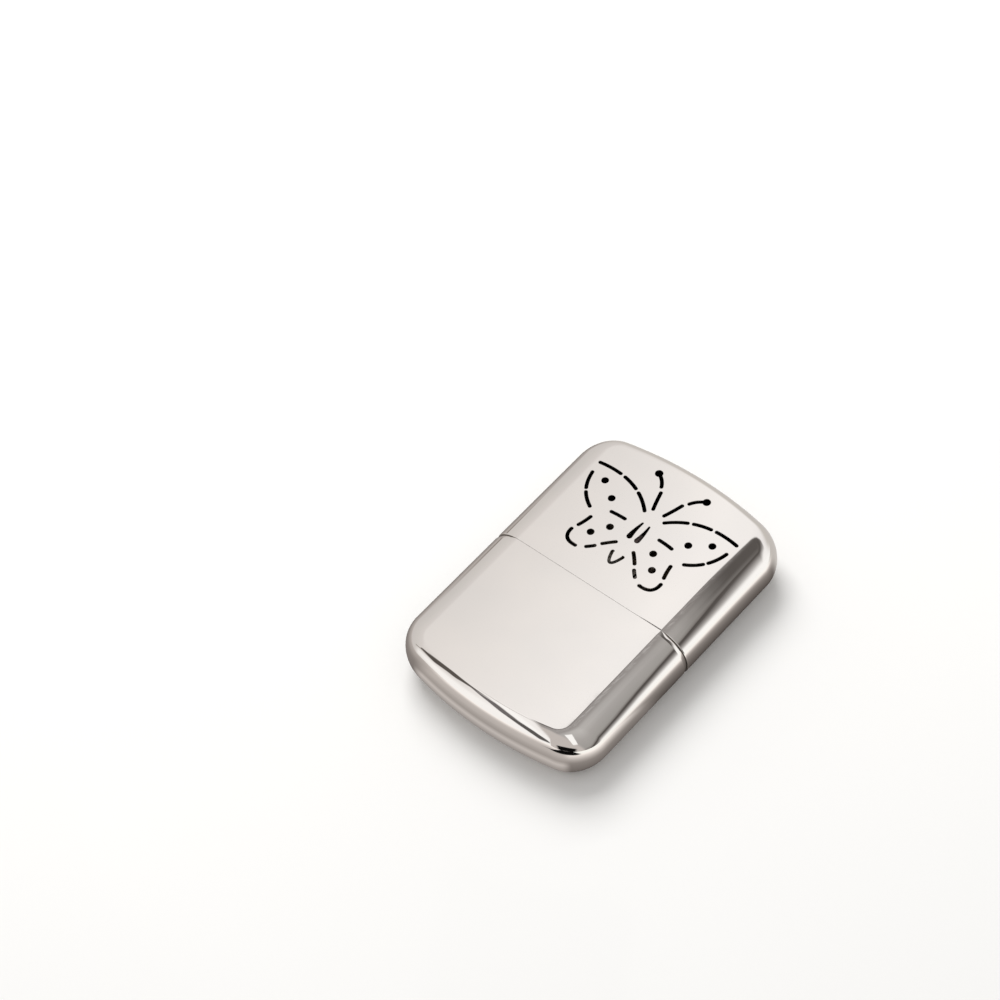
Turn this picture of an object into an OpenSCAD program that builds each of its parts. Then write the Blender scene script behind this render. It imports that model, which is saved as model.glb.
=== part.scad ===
// Catalytic pocket hand warmer, lying on its back as it does in use on a table.
// X is the width, Y the length with the cap at +Y, and Z the thickness, with the
// back face on Z = 0. A drawn tank holds cotton that soaks up the fuel, a burner
// with a catalyst mat presses onto its oval mouth, and a vented cap slides over
// the neck and covers the burner.

/* [Case] */
// Width of the closed case
case_w = 70; // [68:0.5:78]
// Length of the closed case, measured down its middle
case_l = 100; // [96:0.5:115]
// Thickness of the closed case
case_t = 18; // [17.5:0.25:19.5]
// Thickness of the sheet that the tank and the cap are drawn from
wall = 0.5; // [0.4:0.05:0.6]
// Radius of the outline's corners
corner_r = 12.5; // [10:0.5:15]
// How far the middle of each end stands out past the width's own corners
end_bulge = 5; // [4:0.25:6]
// How far the rounding reaches in from each end, seen from the front
end_round = 5; // [4:0.25:6]
// Corner radius of the flat part of each face
flat_corner_r = 4; // [3:0.25:6]
// Length of the tank from its end to the joint line
tank_len = 49.5; // [47:0.5:53]
// Gap between the tank's rim and the cap's
joint_gap = 0.2; // [0.1:0.05:0.4]
// Softened edge along the tank's rim
tank_rim_soft = 0.35; // [0.2:0.05:0.5]
// Softened edge along the cap's rim
cap_rim_soft = 0.15; // [0.1:0.05:0.3]

/* [Vents] */
// Width of the long vent slots
slot_w = 1.1; // [0.8:0.05:1.3]
// Diameter of the round vents in the wings
dot_d = 2.2; // [1.6:0.1:2.6]
// Diameter of the round vent at the tip of each feeler
feeler_tip_d = 2.4; // [1.8:0.1:2.8]
// Width of the two slots that make the body, at their wide end
body_slot_w = 1.7; // [1.2:0.1:1.9]
// Distance of the vents' centre line below the cap's end
vent_drop = 50; // [49.5:0.25:52]

/* [Neck] */
// How far the neck stands up past the joint line, inside the cap
neck_rise = 9; // [7:0.5:11]
// How far the neck reaches down into the tank
neck_drop = 7; // [5:0.5:10]
// Thickness of the neck's sheet
neck_wall = 0.5; // [0.4:0.05:0.6]
// Gap round the neck, to the tank and to the cap that slides on it
neck_gap = 0.1; // [0.08:0.01:0.15]
// Radius drawn along the neck's top edge
neck_edge_r = 1.6; // [1.2:0.1:2.2]

/* [Filler mouth] */
// Width of the filler mouth's tube
mouth_w = 24; // [20:0.5:26]
// Thickness of the filler mouth's tube, front to back
mouth_t = 8; // [7.5:0.25:8.5]
// Sheet of the filler mouth
mouth_wall = 0.5; // [0.4:0.05:0.6]
// How far the mouth stands above the neck's top
mouth_rise = 6; // [5:0.5:8]
// Radius of the bead rolled round the mouth's lip
bead_r = 0.5; // [0.4:0.05:0.6]
// Width of the flange that holds the mouth under the neck's top
flange_rim = 1.6; // [1.2:0.1:2]

/* [Burner] */
// Gap between the mouth's bead and the burner's skirt
skirt_gap = 0.08; // [0.05:0.01:0.12]
// Sheet of the burner's skirt and cage
burner_wall = 0.4; // [0.3:0.05:0.5]
// Gap that the seated burner keeps above the mouth's lip
seat_gap = 0.15; // [0.1:0.05:0.3]
// Gap between the skirt's lower edge and the neck's top
skirt_lift = 0.5; // [0.3:0.1:1]
// Width of the springy slits in the skirt
slit_w = 0.6; // [0.4:0.1:0.9]
// Height of the springy slits in the skirt
slit_h = 3.4; // [2.5:0.1:4]
// Distance of the slits from the skirt's middle
slit_x = 6.5; // [4:0.5:7.5]
// Width of the vapour slot in the burner's floor
vapour_w = 19; // [16:0.5:19.5]
// Height of the vapour slot, front to back
vapour_t = 4.4; // [3:0.2:5]
// Width of the burner's cage
cage_w = 32; // [30:0.5:35]
// Thickness of the burner's cage, front to back
cage_t = 12.4; // [12:0.1:13]
// Height of the air space under the catalyst
air_space = 3.6; // [3:0.1:3.9]
// Diameter of the air holes round the cage
air_hole_d = 1.8; // [1.2:0.1:2.2]
// Distance between neighbouring air holes
air_pitch = 3; // [2.6:0.1:4]
// How far the ledge that carries the gauze stands inwards
ledge = 0.6; // [0.4:0.1:1]
// Thickness of the support gauze
gauze_t = 0.4; // [0.3:0.05:0.6]
// Distance between neighbouring holes of the gauze
gauze_pitch = 2; // [1.6:0.1:2.5]
// Width of the wire left between the holes of the gauze
gauze_wire = 0.5; // [0.3:0.05:0.6]
// Thickness of the catalyst mat
mat_t = 2.8; // [2:0.1:3.5]
// Thickness of the guard grille
grille_t = 0.5; // [0.4:0.05:0.8]
// Width of the grille's rim
grille_rim = 1.4; // [1:0.1:2]
// Width of each bar across the grille
grille_bar = 1.1; // [0.8:0.1:1.6]
// Number of bars across the grille
grille_bars = 4; // [2:1:6]
// Width of each tab that folds over the grille
tab_w = 3; // [2:0.25:4]
// How far each tab reaches in over the grille
tab_reach = 1.1; // [0.8:0.1:1.3]
// Distance of the tabs from the cage's middle
tab_x = 7.5; // [5:0.5:8]

/* [Wick and cotton] */
// Thickness of the felt wick under the mouth
felt_t = 3; // [2:0.25:4]
// Gap round the soft pieces
soft_gap = 0.3; // [0.2:0.05:0.4]

/* [Smoothness] */
// Steps round each corner of the outline
corner_steps = 9; // [6:1:12]
// Steps along each bulged end
end_steps = 14; // [8:2:20]
// Steps round the rounded side, from front face to back face
side_steps = 16; // [12:2:20]

/* [Hidden] */
$fn = 64;
eps = 0.01;               // overlap that lets a cut run clean through
mid_z = case_t / 2;
tank_end_y = -case_l / 2;
joint_y = tank_end_y + tank_len;
cap_rim_y = joint_y + joint_gap;
cap_len = case_l / 2 - cap_rim_y;
half_w = case_w / 2;
half_t = case_t / 2;
end_r = (half_w * half_w + end_bulge * end_bulge) / (2 * end_bulge);

// Neck: a drawn cup that fits inside the tank's mouth and the cap's
neck_w = case_w - 2 * (wall + neck_gap);
neck_t = case_t - 2 * (wall + neck_gap);
neck_top_y = joint_y + neck_rise;
neck_foot_y = joint_y - neck_drop;

// Filler mouth
mouth_top_y = neck_top_y + mouth_rise;
mouth_flange_t = mouth_wall;

// Burner, bottom to top
skirt_in_w = mouth_w + 2 * (bead_r + skirt_gap);
skirt_in_t = mouth_t + 2 * (bead_r + skirt_gap);
fit = 0.05;               // gap between two pressed or clinched pieces
burner_floor_y = mouth_top_y + seat_gap;
skirt_foot_y = neck_top_y + skirt_lift;
cage_in_w = cage_w - 2 * burner_wall;
cage_in_t = cage_t - 2 * burner_wall;
gauze_y = burner_floor_y + burner_wall + air_space + fit;
mat_y = gauze_y + gauze_t + fit;
grille_y = mat_y + mat_t + fit;
cage_top_y = grille_y + grille_t + fit + burner_wall;

// Soft pieces in the tank
felt_top_y = neck_top_y - neck_wall - mouth_flange_t - fit;
cotton_top_y = felt_top_y - felt_t - fit;
soft_inset = wall + neck_gap + neck_wall + soft_gap;

// ---------------------------------------------------------------- case form

// Right side, bulged end and left side of the case's outline, seen from the
// front, as points. The sides start at start_y and the end is end_y away from
// the joint line. hw is the half width, rc the corner radius and re the radius
// of the bulge; the corner circle touches both the side and the bulge.
function end_path(hw, end_y, rc, re, start_y) =
    let (re_y = end_y - re,
         rc_x = hw - rc,
         rc_y = re_y + sqrt(pow(re - rc, 2) - rc_x * rc_x),
         turn = atan2(rc_y - re_y, rc_x))
    concat(
        [[hw, start_y]],
        [for (i = [0:corner_steps])
            let (a = turn * i / corner_steps)
            [rc_x + rc * cos(a), rc_y + rc * sin(a)]],
        [for (i = [1:end_steps - 1])
            let (a = turn + (180 - 2 * turn) * i / end_steps)
            [re * cos(a), re_y + re * sin(a)]],
        [for (i = [corner_steps:-1:0])
            let (a = turn * i / corner_steps)
            [-rc_x - rc * cos(a), rc_y + rc * sin(a)]],
        [[-hw, start_y]]);

// The skin of one end of the case as rows of points. Each row starts on the
// edge of the front face's flat part, rounds the side in half an ellipse and
// ends on the back face's. inset moves the skin inwards from the case's outside.
function skin(end_y, inset, start_y) =
    let (edge = end_path(half_w - inset, end_y - inset, corner_r - inset, end_r - inset, start_y),
         flat_edge = end_path(half_w - half_t, end_y - end_round, flat_corner_r,
                              end_r - end_round, start_y))
    [for (i = [0:len(edge) - 1])
        [for (j = [0:side_steps])
            let (a = 180 * j / side_steps)
            [each (flat_edge[i] + (edge[i] - flat_edge[i]) * sin(a)), (half_t - inset) * cos(a)]]];

// Two triangles for each cell of a grid of rows x cols points from index start.
// flip turns them over, for an inner skin.
function grid_faces(rows, cols, start, flip) =
    [for (i = [0:rows - 2], j = [0:cols - 2])
        let (a = start + i * cols + j, b = a + cols, c = b + 1, d = a + 1)
        each (flip ? [[a, c, b], [a, d, c]] : [[a, b, c], [a, c, d]])];

function reversed(list) = [for (i = [len(list) - 1:-1:0]) list[i]];

// A drawn shell of the case's form, open at the joint line and closed at the
// far end. rim_soft is the softened edge round the outside of its rim.
module drawn_shell(end_y, rim_soft) {
    outer_rim = skin(end_y, rim_soft, 0);
    outer_full = skin(end_y, 0, rim_soft);
    inner = skin(end_y, wall, 0);
    full_rows = len(outer_full);
    outer = concat([outer_rim[0]], outer_full, [outer_rim[len(outer_rim) - 1]]);
    rows = len(outer);
    cols = side_steps + 1;
    last = side_steps;
    in0 = rows * cols;
    in_rows = len(inner);
    o = function (i, j) i * cols + j;
    n = function (i, j) in0 + i * cols + j;
    rim_out = concat([for (j = [0:last]) o(0, j)], [for (j = [last:-1:0]) o(rows - 1, j)]);
    rim_in = concat([for (j = [0:last]) n(0, j)], [for (j = [last:-1:0]) n(in_rows - 1, j)]);
    count = len(rim_out);
    polyhedron(
        points = [for (row = outer) each row, for (row = inner) each row],
        faces = concat(
            grid_faces(rows, cols, 0, false),
            grid_faces(in_rows, cols, in0, true),
            [reversed([for (i = [1:rows - 2]) o(i, 0)]), [for (i = [1:rows - 2]) o(i, last)],
             [o(rows - 1, 0), o(rows - 2, 0), o(1, 0), o(0, 0)],
             [o(0, last), o(1, last), o(rows - 2, last), o(rows - 1, last)],
             [for (i = [0:in_rows - 1]) n(i, 0)], reversed([for (i = [0:in_rows - 1]) n(i, last)])],
            [for (k = [0:count - 1])
                let (m = (k + 1) % count)
                each [[rim_out[k], rim_out[m], rim_in[m]], [rim_out[k], rim_in[m], rim_in[k]]]]),
        convexity = 6);
}

// A solid block of the case's form, flat on the side of the joint line.
module form_block(end_y, inset, start_y) {
    rows = skin(end_y, inset, start_y);
    cols = side_steps + 1;
    last = side_steps;
    r = len(rows);
    g = function (i, j) i * cols + j;
    polyhedron(
        points = [for (row = rows) each row],
        faces = concat(
            grid_faces(r, cols, 0, false),
            [reversed([for (i = [0:r - 1]) g(i, 0)]), [for (i = [0:r - 1]) g(i, last)],
             concat([for (j = [0:last]) g(0, j)], [for (j = [last:-1:0]) g(r - 1, j)])]),
        convexity = 4);
}

// ------------------------------------------------------ rounded slot forms

// Stands a piece that was drawn along Z along the case's length, from y up.
module along_case(y) {
    translate([0, y, mid_z]) rotate([-90, 0, 0]) children();
}

// A slot outline with round ends, w wide and t thick.
module slot_outline(w, t) {
    square([w - t, t], center = true);
    for (side = [-1, 1]) translate([side * (w - t) / 2, 0]) circle(d = t);
}

// A tube with a slot outline.
module slot_tube(w, t, sheet, h) {
    linear_extrude(h) difference() {
        slot_outline(w, t);
        slot_outline(w - 2 * sheet, t - 2 * sheet);
    }
}

// Half of a drawn block's section: straight wall, edge radius and flat top.
module drawn_section(r, h, edge_r) {
    square([r - edge_r, h]);
    square([r, h - edge_r]);
    translate([r - edge_r, h - edge_r]) circle(edge_r);
}

// A block with a slot outline whose top edge has a drawn radius.
module drawn_block(w, t, h, edge_r) {
    run = w - t;
    translate([-run / 2, 0, 0]) rotate([90, 0, 90]) linear_extrude(run) {
        drawn_section(t / 2, h, edge_r);
        mirror([1, 0, 0]) drawn_section(t / 2, h, edge_r);
    }
    for (side = [-1, 1])
        translate([side * run / 2, 0, 0]) rotate([0, 0, -90 * side])
            rotate_extrude(angle = 180) difference() {
                drawn_section(t / 2, h, edge_r);
                translate([-2 * edge_r, -eps]) square([2 * edge_r, h + 2 * eps]);
            }
}

// A round bead that follows a slot outline.
module slot_bead(w, t, r) {
    run = w - t;
    for (side = [-1, 1]) {
        translate([-run / 2, side * t / 2, 0]) rotate([0, 90, 0]) cylinder(h = run, r = r);
        translate([side * run / 2, 0, 0]) rotate([0, 0, -90 * side])
            rotate_extrude(angle = 180) translate([t / 2, 0]) circle(r);
    }
}

// ------------------------------------------------------------- vent pattern

// The vents stand in for a winged figure drawn in dashes and dots. Each line is
// a curve through p[0] and p[2] that leans towards p[1]. Places are in mm from
// the pattern's own centre line, for the wing on the +X side; the other wing
// mirrors it.
fore_wing = [[3.6, 28.6], [11.9, 36.6], [24.9, 34.5]];
fore_margin = [[24.5, 30.5], [23.2, 23.8], [17.2, 20.6]];
wing_fold = [[6.3, 23.1], [8.7, 23.1], [11, 22.8]];
hind_margin = [[14.6, 17.9], [14.9, 15.7], [15.6, 13.7]];
hind_lobe = [[16.3, 11.5], [16.5, 7.2], [11.7, 7.6]];
hind_dash = [[8.9, 9.1], [8, 9.9], [7.2, 10.8]];
hind_inner = [[5.9, 12.6], [4.7, 14], [3.2, 15.4]];
feeler_low = [[2, 30.5], [3, 33.1], [3.9, 36.3]];
feeler_high = [[5.1, 38], [6.3, 40.2], [8.7, 41.4]];
tail_hook = [[-1.8, 12.3], [0, 5.6], [1.8, 12.3]];
body_slot = [[1.4, 19.2], [1.6, 21.8], [1.2, 24.9]];
wing_dots = [[19.6, 30.3], [14, 26.5], [7.9, 18.4], [11.2, 13.8]];
// Share of a line's length that each of its dashes covers
fore_dashes = [[0, 0.3], [0.38, 0.62], [0.7, 1]];
margin_dashes = [[0, 0.46], [0.58, 1]];
whole = [[0, 1]];

function on_curve(p, s) = (1 - s) * (1 - s) * p[0] + 2 * s * (1 - s) * p[1] + s * s * p[2];
function curve_way(p, s) =
    let (d = (1 - s) * (p[1] - p[0]) + s * (p[2] - p[1])) d / norm(d);

// Outline of a dash along the curve p from share s0 to s1: one side, a round
// end, the other side and a round end. It is w0 wide at s0 and w1 at s1.
function dash_outline(p, s0, s1, w0, w1, steps) =
    let (side = function (k, hand)
            let (s = s0 + (s1 - s0) * k / steps, d = curve_way(p, s), w = w0 + (w1 - w0) * k / steps)
            on_curve(p, s) + hand * w / 2 * [-d.y, d.x],
         cap = function (s, w, from)
            let (d = curve_way(p, s), a0 = atan2(d.y, d.x) + from)
            [for (a = [30:30:150]) on_curve(p, s) + w / 2 * [cos(a0 + a), sin(a0 + a)]])
    concat([for (k = [0:steps]) side(k, -1)], cap(s1, w1, -90),
           [for (k = [steps:-1:0]) side(k, 1)], cap(s0, w0, 90));

module dashes(p, spans, w0 = slot_w, w1 = slot_w, steps = 4) {
    for (span = spans) polygon(dash_outline(p, span[0], span[1], w0, w1, steps));
}

module wing_vents() {
    dashes(fore_wing, fore_dashes);
    dashes(fore_margin, margin_dashes);
    for (line = [wing_fold, hind_margin, hind_dash, hind_inner]) dashes(line, whole, steps = 2);
    dashes(hind_lobe, whole, steps = 6);
    dashes(feeler_low, whole);
    dashes(feeler_high, whole);
    translate(feeler_high[2]) circle(d = feeler_tip_d, $fn = 24);
    dashes(body_slot, whole, body_slot_w, slot_w / 2);
    for (place = wing_dots) translate(place) circle(d = dot_d, $fn = 24);
}

// ---------------------------------------------------------------- sub-parts

// Tank: drawn in one piece with its end.
module tank_shell() {
    color([0.86, 0.84, 0.81])
        translate([0, joint_y, mid_z]) mirror([0, 1, 0]) drawn_shell(tank_len, tank_rim_soft);
}

// Neck: a drawn cup with a slot in its top for the filler mouth. Its lower part
// closes the tank and the cap slides over its upper part.
module neck_insert() {
    h = neck_rise + neck_drop;
    color([0.8, 0.78, 0.76]) along_case(neck_foot_y) difference() {
        drawn_block(neck_w, neck_t, h, neck_edge_r);
        translate([0, 0, -eps])
            drawn_block(neck_w - 2 * neck_wall, neck_t - 2 * neck_wall, h - neck_wall + eps,
                        neck_edge_r - neck_wall);
        linear_extrude(h + eps) slot_outline(mouth_w + 2 * fit, mouth_t + 2 * fit);
    }
}

// Filler mouth: an oval tube, held by a flange under the neck's top, with a
// bead rolled round its lip that the burner's skirt springs over.
module filler_mouth() {
    foot = neck_wall + mouth_flange_t + fit;
    color([0.78, 0.76, 0.72]) along_case(neck_top_y - foot) {
        slot_tube(mouth_w, mouth_t, mouth_wall, foot + mouth_rise);
        linear_extrude(mouth_flange_t) difference() {
            slot_outline(mouth_w + 2 * flange_rim, mouth_t + 2 * flange_rim);
            slot_outline(mouth_w - mouth_wall, mouth_t - mouth_wall);
        }
        translate([0, 0, foot + mouth_rise - bead_r]) difference() {
            slot_bead(mouth_w, mouth_t, bead_r);
            translate([0, 0, -2 * bead_r]) linear_extrude(4 * bead_r)
                slot_outline(mouth_w - mouth_wall, mouth_t - mouth_wall);
        }
    }
}

// Felt wick: lies under the mouth and lets vapour up from the cotton.
module felt_wick() {
    color([0.9, 0.88, 0.82]) along_case(felt_top_y - felt_t)
        linear_extrude(felt_t) slot_outline(case_w - 2 * soft_inset, case_t - 2 * soft_inset);
}

// Cotton: fills the tank up to the wick.
module cotton_fill() {
    color([0.95, 0.94, 0.91]) translate([0, joint_y, mid_z]) mirror([0, 1, 0])
        form_block(tank_len, soft_inset, joint_y - cotton_top_y);
}

// Burner skirt: a drawn sleeve that grips the mouth's bead, with the burner's
// floor turned out from its top and a slot in the floor for the vapour.
module burner_skirt() {
    h = burner_floor_y - skirt_foot_y;
    color([0.74, 0.71, 0.66]) along_case(skirt_foot_y) difference() {
        union() {
            slot_tube(skirt_in_w + 2 * burner_wall, skirt_in_t + 2 * burner_wall, burner_wall, h + eps);
            translate([0, 0, h]) linear_extrude(burner_wall) difference() {
                slot_outline(cage_in_w - 2 * fit, cage_in_t - 2 * fit);
                slot_outline(vapour_w, vapour_t);
            }
        }
        for (x = [-slit_x, slit_x])
            translate([x - slit_w / 2, -cage_t / 2, -eps]) cube([slit_w, cage_t, slit_h + eps]);
    }
}

// Air holes of the cage: a row along each broad side and three round each end.
module air_holes() {
    run = cage_w - cage_t;
    per_side = floor(run / 2 / air_pitch);
    for (k = [-per_side:per_side])
        translate([k * air_pitch, cage_t, 0]) rotate([90, 0, 0]) cylinder(h = 2 * cage_t, d = air_hole_d);
    end_step = air_pitch / (cage_t / 2) * 180 / PI;
    for (side = [-1, 1], k = [-1:1])
        translate([side * run / 2, 0, 0]) rotate([0, 90, k * end_step + (side < 0 ? 180 : 0)])
            cylinder(h = cage_t, d = air_hole_d);
}

// Burner cage: a band clinched round the floor, with air holes, a rolled ledge
// for the gauze and four tabs folded in over the grille.
module burner_cage() {
    h = cage_top_y - burner_floor_y;
    ledge_z = gauze_y - fit - burner_floor_y;
    color([0.7, 0.69, 0.67]) along_case(burner_floor_y) difference() {
        union() {
            slot_tube(cage_w, cage_t, burner_wall, h);
            translate([0, 0, ledge_z - burner_wall])
                slot_tube(cage_w - burner_wall, cage_t - burner_wall, ledge + burner_wall / 2, burner_wall);
            for (x = [-tab_x, tab_x], side = [-1, 1])
                translate([x - tab_w / 2, side > 0 ? cage_in_t / 2 - tab_reach : -cage_t / 2 + burner_wall / 2,
                           h - burner_wall])
                    cube([tab_w, tab_reach + burner_wall / 2, burner_wall]);
        }
        translate([0, 0, burner_wall + (air_space - burner_wall) / 2]) air_holes();
    }
}

// Support gauze: carries the catalyst mat, with square meshes.
module support_gauze() {
    w = cage_in_w - 2 * fit;
    t = cage_in_t - 2 * fit;
    mesh = gauze_pitch - gauze_wire;
    across = floor((w / 2 - t / 4) / gauze_pitch);
    along = floor((t / 2 - gauze_pitch) / gauze_pitch);
    color([0.55, 0.54, 0.52]) along_case(gauze_y) linear_extrude(gauze_t) difference() {
        slot_outline(w, t);
        for (i = [-across:across], k = [-along:along])
            translate([i * gauze_pitch, k * gauze_pitch]) square(mesh, center = true);
    }
}

// Catalyst mat: glass fibre that carries the platinum.
module catalyst_mat() {
    color([0.62, 0.61, 0.58]) along_case(mat_y) linear_extrude(mat_t)
        slot_outline(cage_in_w - 2 * soft_gap, cage_in_t - 2 * soft_gap);
}

// Guard grille: a stamped frame with bars that keeps the mat in.
module guard_grille() {
    w = cage_in_w - 2 * fit;
    t = cage_in_t - 2 * fit;
    window = w - 2 * grille_rim;
    color([0.76, 0.74, 0.7]) along_case(grille_y) linear_extrude(grille_t) {
        difference() {
            slot_outline(w, t);
            slot_outline(window, t - 2 * grille_rim);
        }
        for (k = [1:grille_bars])
            translate([-window / 2 + window * k / (grille_bars + 1) - grille_bar / 2, -t / 2 + grille_rim / 2])
                square([grille_bar, t - grille_rim]);
    }
}

// Cap: drawn like the tank, with the vents cut through its front face only.
module cap_shell() {
    color([0.86, 0.84, 0.81]) difference() {
        translate([0, cap_rim_y, mid_z]) drawn_shell(cap_len, cap_rim_soft);
        translate([0, case_l / 2 - vent_drop, mid_z]) linear_extrude(case_t) {
            wing_vents();
            mirror([1, 0, 0]) wing_vents();
            dashes(tail_hook, whole, steps = 8);
        }
    }
}

tank_shell();
neck_insert();
filler_mouth();
felt_wick();
cotton_fill();
burner_skirt();
burner_cage();
support_gauze();
catalyst_mat();
guard_grille();
cap_shell();
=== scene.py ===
"""Looks of a catalytic pocket hand warmer, closed and lying on its back.

Each piece is a surface worked out in millimetres from the same sizes as the
solids, then set in metres in the part's frame: X is the width, Y the length with
the cap at +Y, and Z the thickness, with the back face on Z = 0.
"""

import bpy
import numpy as np
from mathutils import Matrix, Vector
from mathutils.geometry import delaunay_2d_cdt


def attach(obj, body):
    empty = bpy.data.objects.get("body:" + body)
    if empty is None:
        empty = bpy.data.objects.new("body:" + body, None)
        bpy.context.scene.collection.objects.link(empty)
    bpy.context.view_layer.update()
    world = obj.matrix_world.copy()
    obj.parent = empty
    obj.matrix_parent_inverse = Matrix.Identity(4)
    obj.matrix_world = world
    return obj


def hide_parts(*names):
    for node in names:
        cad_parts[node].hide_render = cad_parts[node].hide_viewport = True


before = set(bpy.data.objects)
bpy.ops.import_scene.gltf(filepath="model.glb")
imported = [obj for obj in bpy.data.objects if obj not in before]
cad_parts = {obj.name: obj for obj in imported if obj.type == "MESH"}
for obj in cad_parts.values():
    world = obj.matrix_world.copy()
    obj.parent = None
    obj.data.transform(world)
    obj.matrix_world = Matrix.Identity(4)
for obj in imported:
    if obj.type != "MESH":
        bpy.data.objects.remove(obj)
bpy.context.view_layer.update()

MM = 0.001

# ------------------------------------------------------------------ sizes, mm

# Case, as in the solids
CASE_W, CASE_L, CASE_T = 70.0, 100.0, 18.0
WALL = 0.5
CORNER_R, END_BULGE, END_ROUND, FLAT_CORNER_R = 12.5, 5.0, 5.0, 4.0
HALF_W, HALF_T, MID_Z = CASE_W / 2, CASE_T / 2, CASE_T / 2
END_R = (HALF_W**2 + END_BULGE**2) / (2 * END_BULGE)
TANK_LEN = 49.5
JOINT_Y = TANK_LEN - CASE_L / 2
CAP_RIM_Y = JOINT_Y + 0.06
CAP_LEN = CASE_L / 2 - CAP_RIM_Y
# The rim's edge is turned in: how far it reaches along the case, how deep on the
# sides, and which share of that is left on the flats
TANK_ROLL, CAP_ROLL = (1.6, 0.5, 0.12), (0.25, 0.08, 0.6)
# The face is drawn down this far round each punched vent
PUNCH_ROLL = 0.1

# Neck and mouth: a slot's straight run, its reach from there, and heights along Y
NECK_RUN, NECK_REACH, NECK_FOOT_Y, NECK_TOP_Y, SHOULDER_R = 52.0, 8.4, -7.5, 8.5, 1.6
MOUTH_RUN, MOUTH_REACH, MOUTH_TOP_Y, MOUTH_GAP = 16.0, 4.0, 14.5, 0.05
FLANGE_W, FLANGE_T = 1.6, 0.5
BEAD_W, BEAD_H = 0.5, 1.0

# Burner: its sheet, and where the strips' ends meet along the front
SHEET, SEAM_X = 0.4, 1.5
SKIRT_REACH, SKIRT_FOOT_Y, FLOOR_Y, FLOOR_REACH = 4.78, 9.0, 14.65, 5.75
SLIT_X, SLIT_W, SLIT_H = 6.5, 0.6, 3.4
VAPOUR_RUN, VAPOUR_REACH = 14.6, 2.2
GRIP_Y, GRIP_DEPTH, GRIP_HALF_H = 12.75, 0.14, 0.6
CAGE_RUN, CAGE_REACH, CAGE_TOP_Y = 19.6, 6.0, 22.95
LEDGE_Y, LEDGE_DEPTH, LEDGE_HALF_H = 18.22, 0.6, 0.45
AIR_PITCH, AIR_HOLE_D, AIR_HOLE_Y = 3.0, 1.8, 16.65
TAB_X, TAB_W, TAB_H, TAB_REACH = 7.5, 3.0, 1.45, 4.7
NOTCH_HALF_W, NOTCH_H = 1.75, 1.3
GAUZE_Y, GAUZE_PITCH, GAUZE_REACH, WIRE_R = 18.7, 1.0, 5.45, 0.1
GAUZE_RIM_W, GAUZE_RIM_H = 0.5, 0.4
GRILLE_Y, GRILLE_T, GRILLE_ROLL, GRILLE_RIM, GRILLE_BAR, WINDOWS = 22.0, 0.5, 0.16, 1.4, 1.1, 5

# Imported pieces
MAT_REACH, MAT_LOW_Y, MAT_TOP_Y = 5.5, 19.15, 21.95
WICK_REACH, WICK_LOW_Y, WICK_TOP_Y = 7.6, 4.45, 7.45
COTTON_INSET, COTTON_TOP_Y = 1.4, 4.4

# Vents: slots' and dots' widths, then the right-hand wing's curves on the face as
# (start, the place it leans to, end), and which shares of a curve are cut
SLOT_W, BODY_SLOT_W, DOT_D, TIP_D = 1.1, 1.7, 2.2, 2.4
FORE_WING = (((3.6, 28.6), (11.9, 36.6), (24.9, 34.5)), ((0, 0.3), (0.38, 0.62), (0.7, 1)))
FORE_MARGIN = (((24.5, 30.5), (23.2, 23.8), (17.2, 20.6)), ((0, 0.46), (0.58, 1)))
SINGLE_DASHES = (
    ((6.3, 23.1), (8.7, 23.1), (11, 22.8)),  # fold between the wings
    ((14.6, 17.9), (14.9, 15.7), (15.6, 13.7)),  # hind wing's margin
    ((16.3, 11.5), (16.5, 7.2), (11.7, 7.6)),  # hind wing's lobe
    ((8.9, 9.1), (8, 9.9), (7.2, 10.8)),
    ((5.9, 12.6), (4.7, 14), (3.2, 15.4)),
    ((2, 30.5), (3, 33.1), (3.9, 36.3)),  # feeler, lower half
)
FEELER_HIGH = ((5.1, 38), (6.3, 40.2), (8.7, 41.4))
TAIL_HOOK = ((-1.8, 12.3), (0, 5.6), (1.8, 12.3))
BODY_SLOT = ((1.4, 19.2), (1.6, 21.8), (1.2, 24.9))
WING_DOTS = ((19.6, 30.3), (14, 26.5), (7.9, 18.4), (11.2, 13.8))

# ---------------------------------------------------------------- mesh helpers


def grid_faces(rows, cols, closed=False):
    """Two triangles for each cell of a grid of rows x cols points.

    closed joins the last column to the first.
    """
    i, j = np.meshgrid(np.arange(rows - 1), np.arange(cols if closed else cols - 1), indexing="ij")
    a = (i * cols + j).ravel()
    d = (i * cols + (j + 1) % cols).ravel()
    return np.vstack([np.column_stack([a, a + cols, d + cols]), np.column_stack([a, d + cols, d])])


def patch(points, normals, faces=None, closed=False, inside=0.0):
    """A smooth patch: points and their normals, as a grid or with faces given.

    inside is 1 where the sheet was left as drawn and its colour is darkened with painted shade, and 0 where
    it was finished.
    """
    points, normals = np.asarray(points, float), np.asarray(normals, float)
    if faces is None:
        faces = grid_faces(points.shape[0], points.shape[1], closed)
    normals = np.broadcast_to(normals, points.shape).reshape(-1, 3)
    return points.reshape(-1, 3), normals, faces, inside


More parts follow.
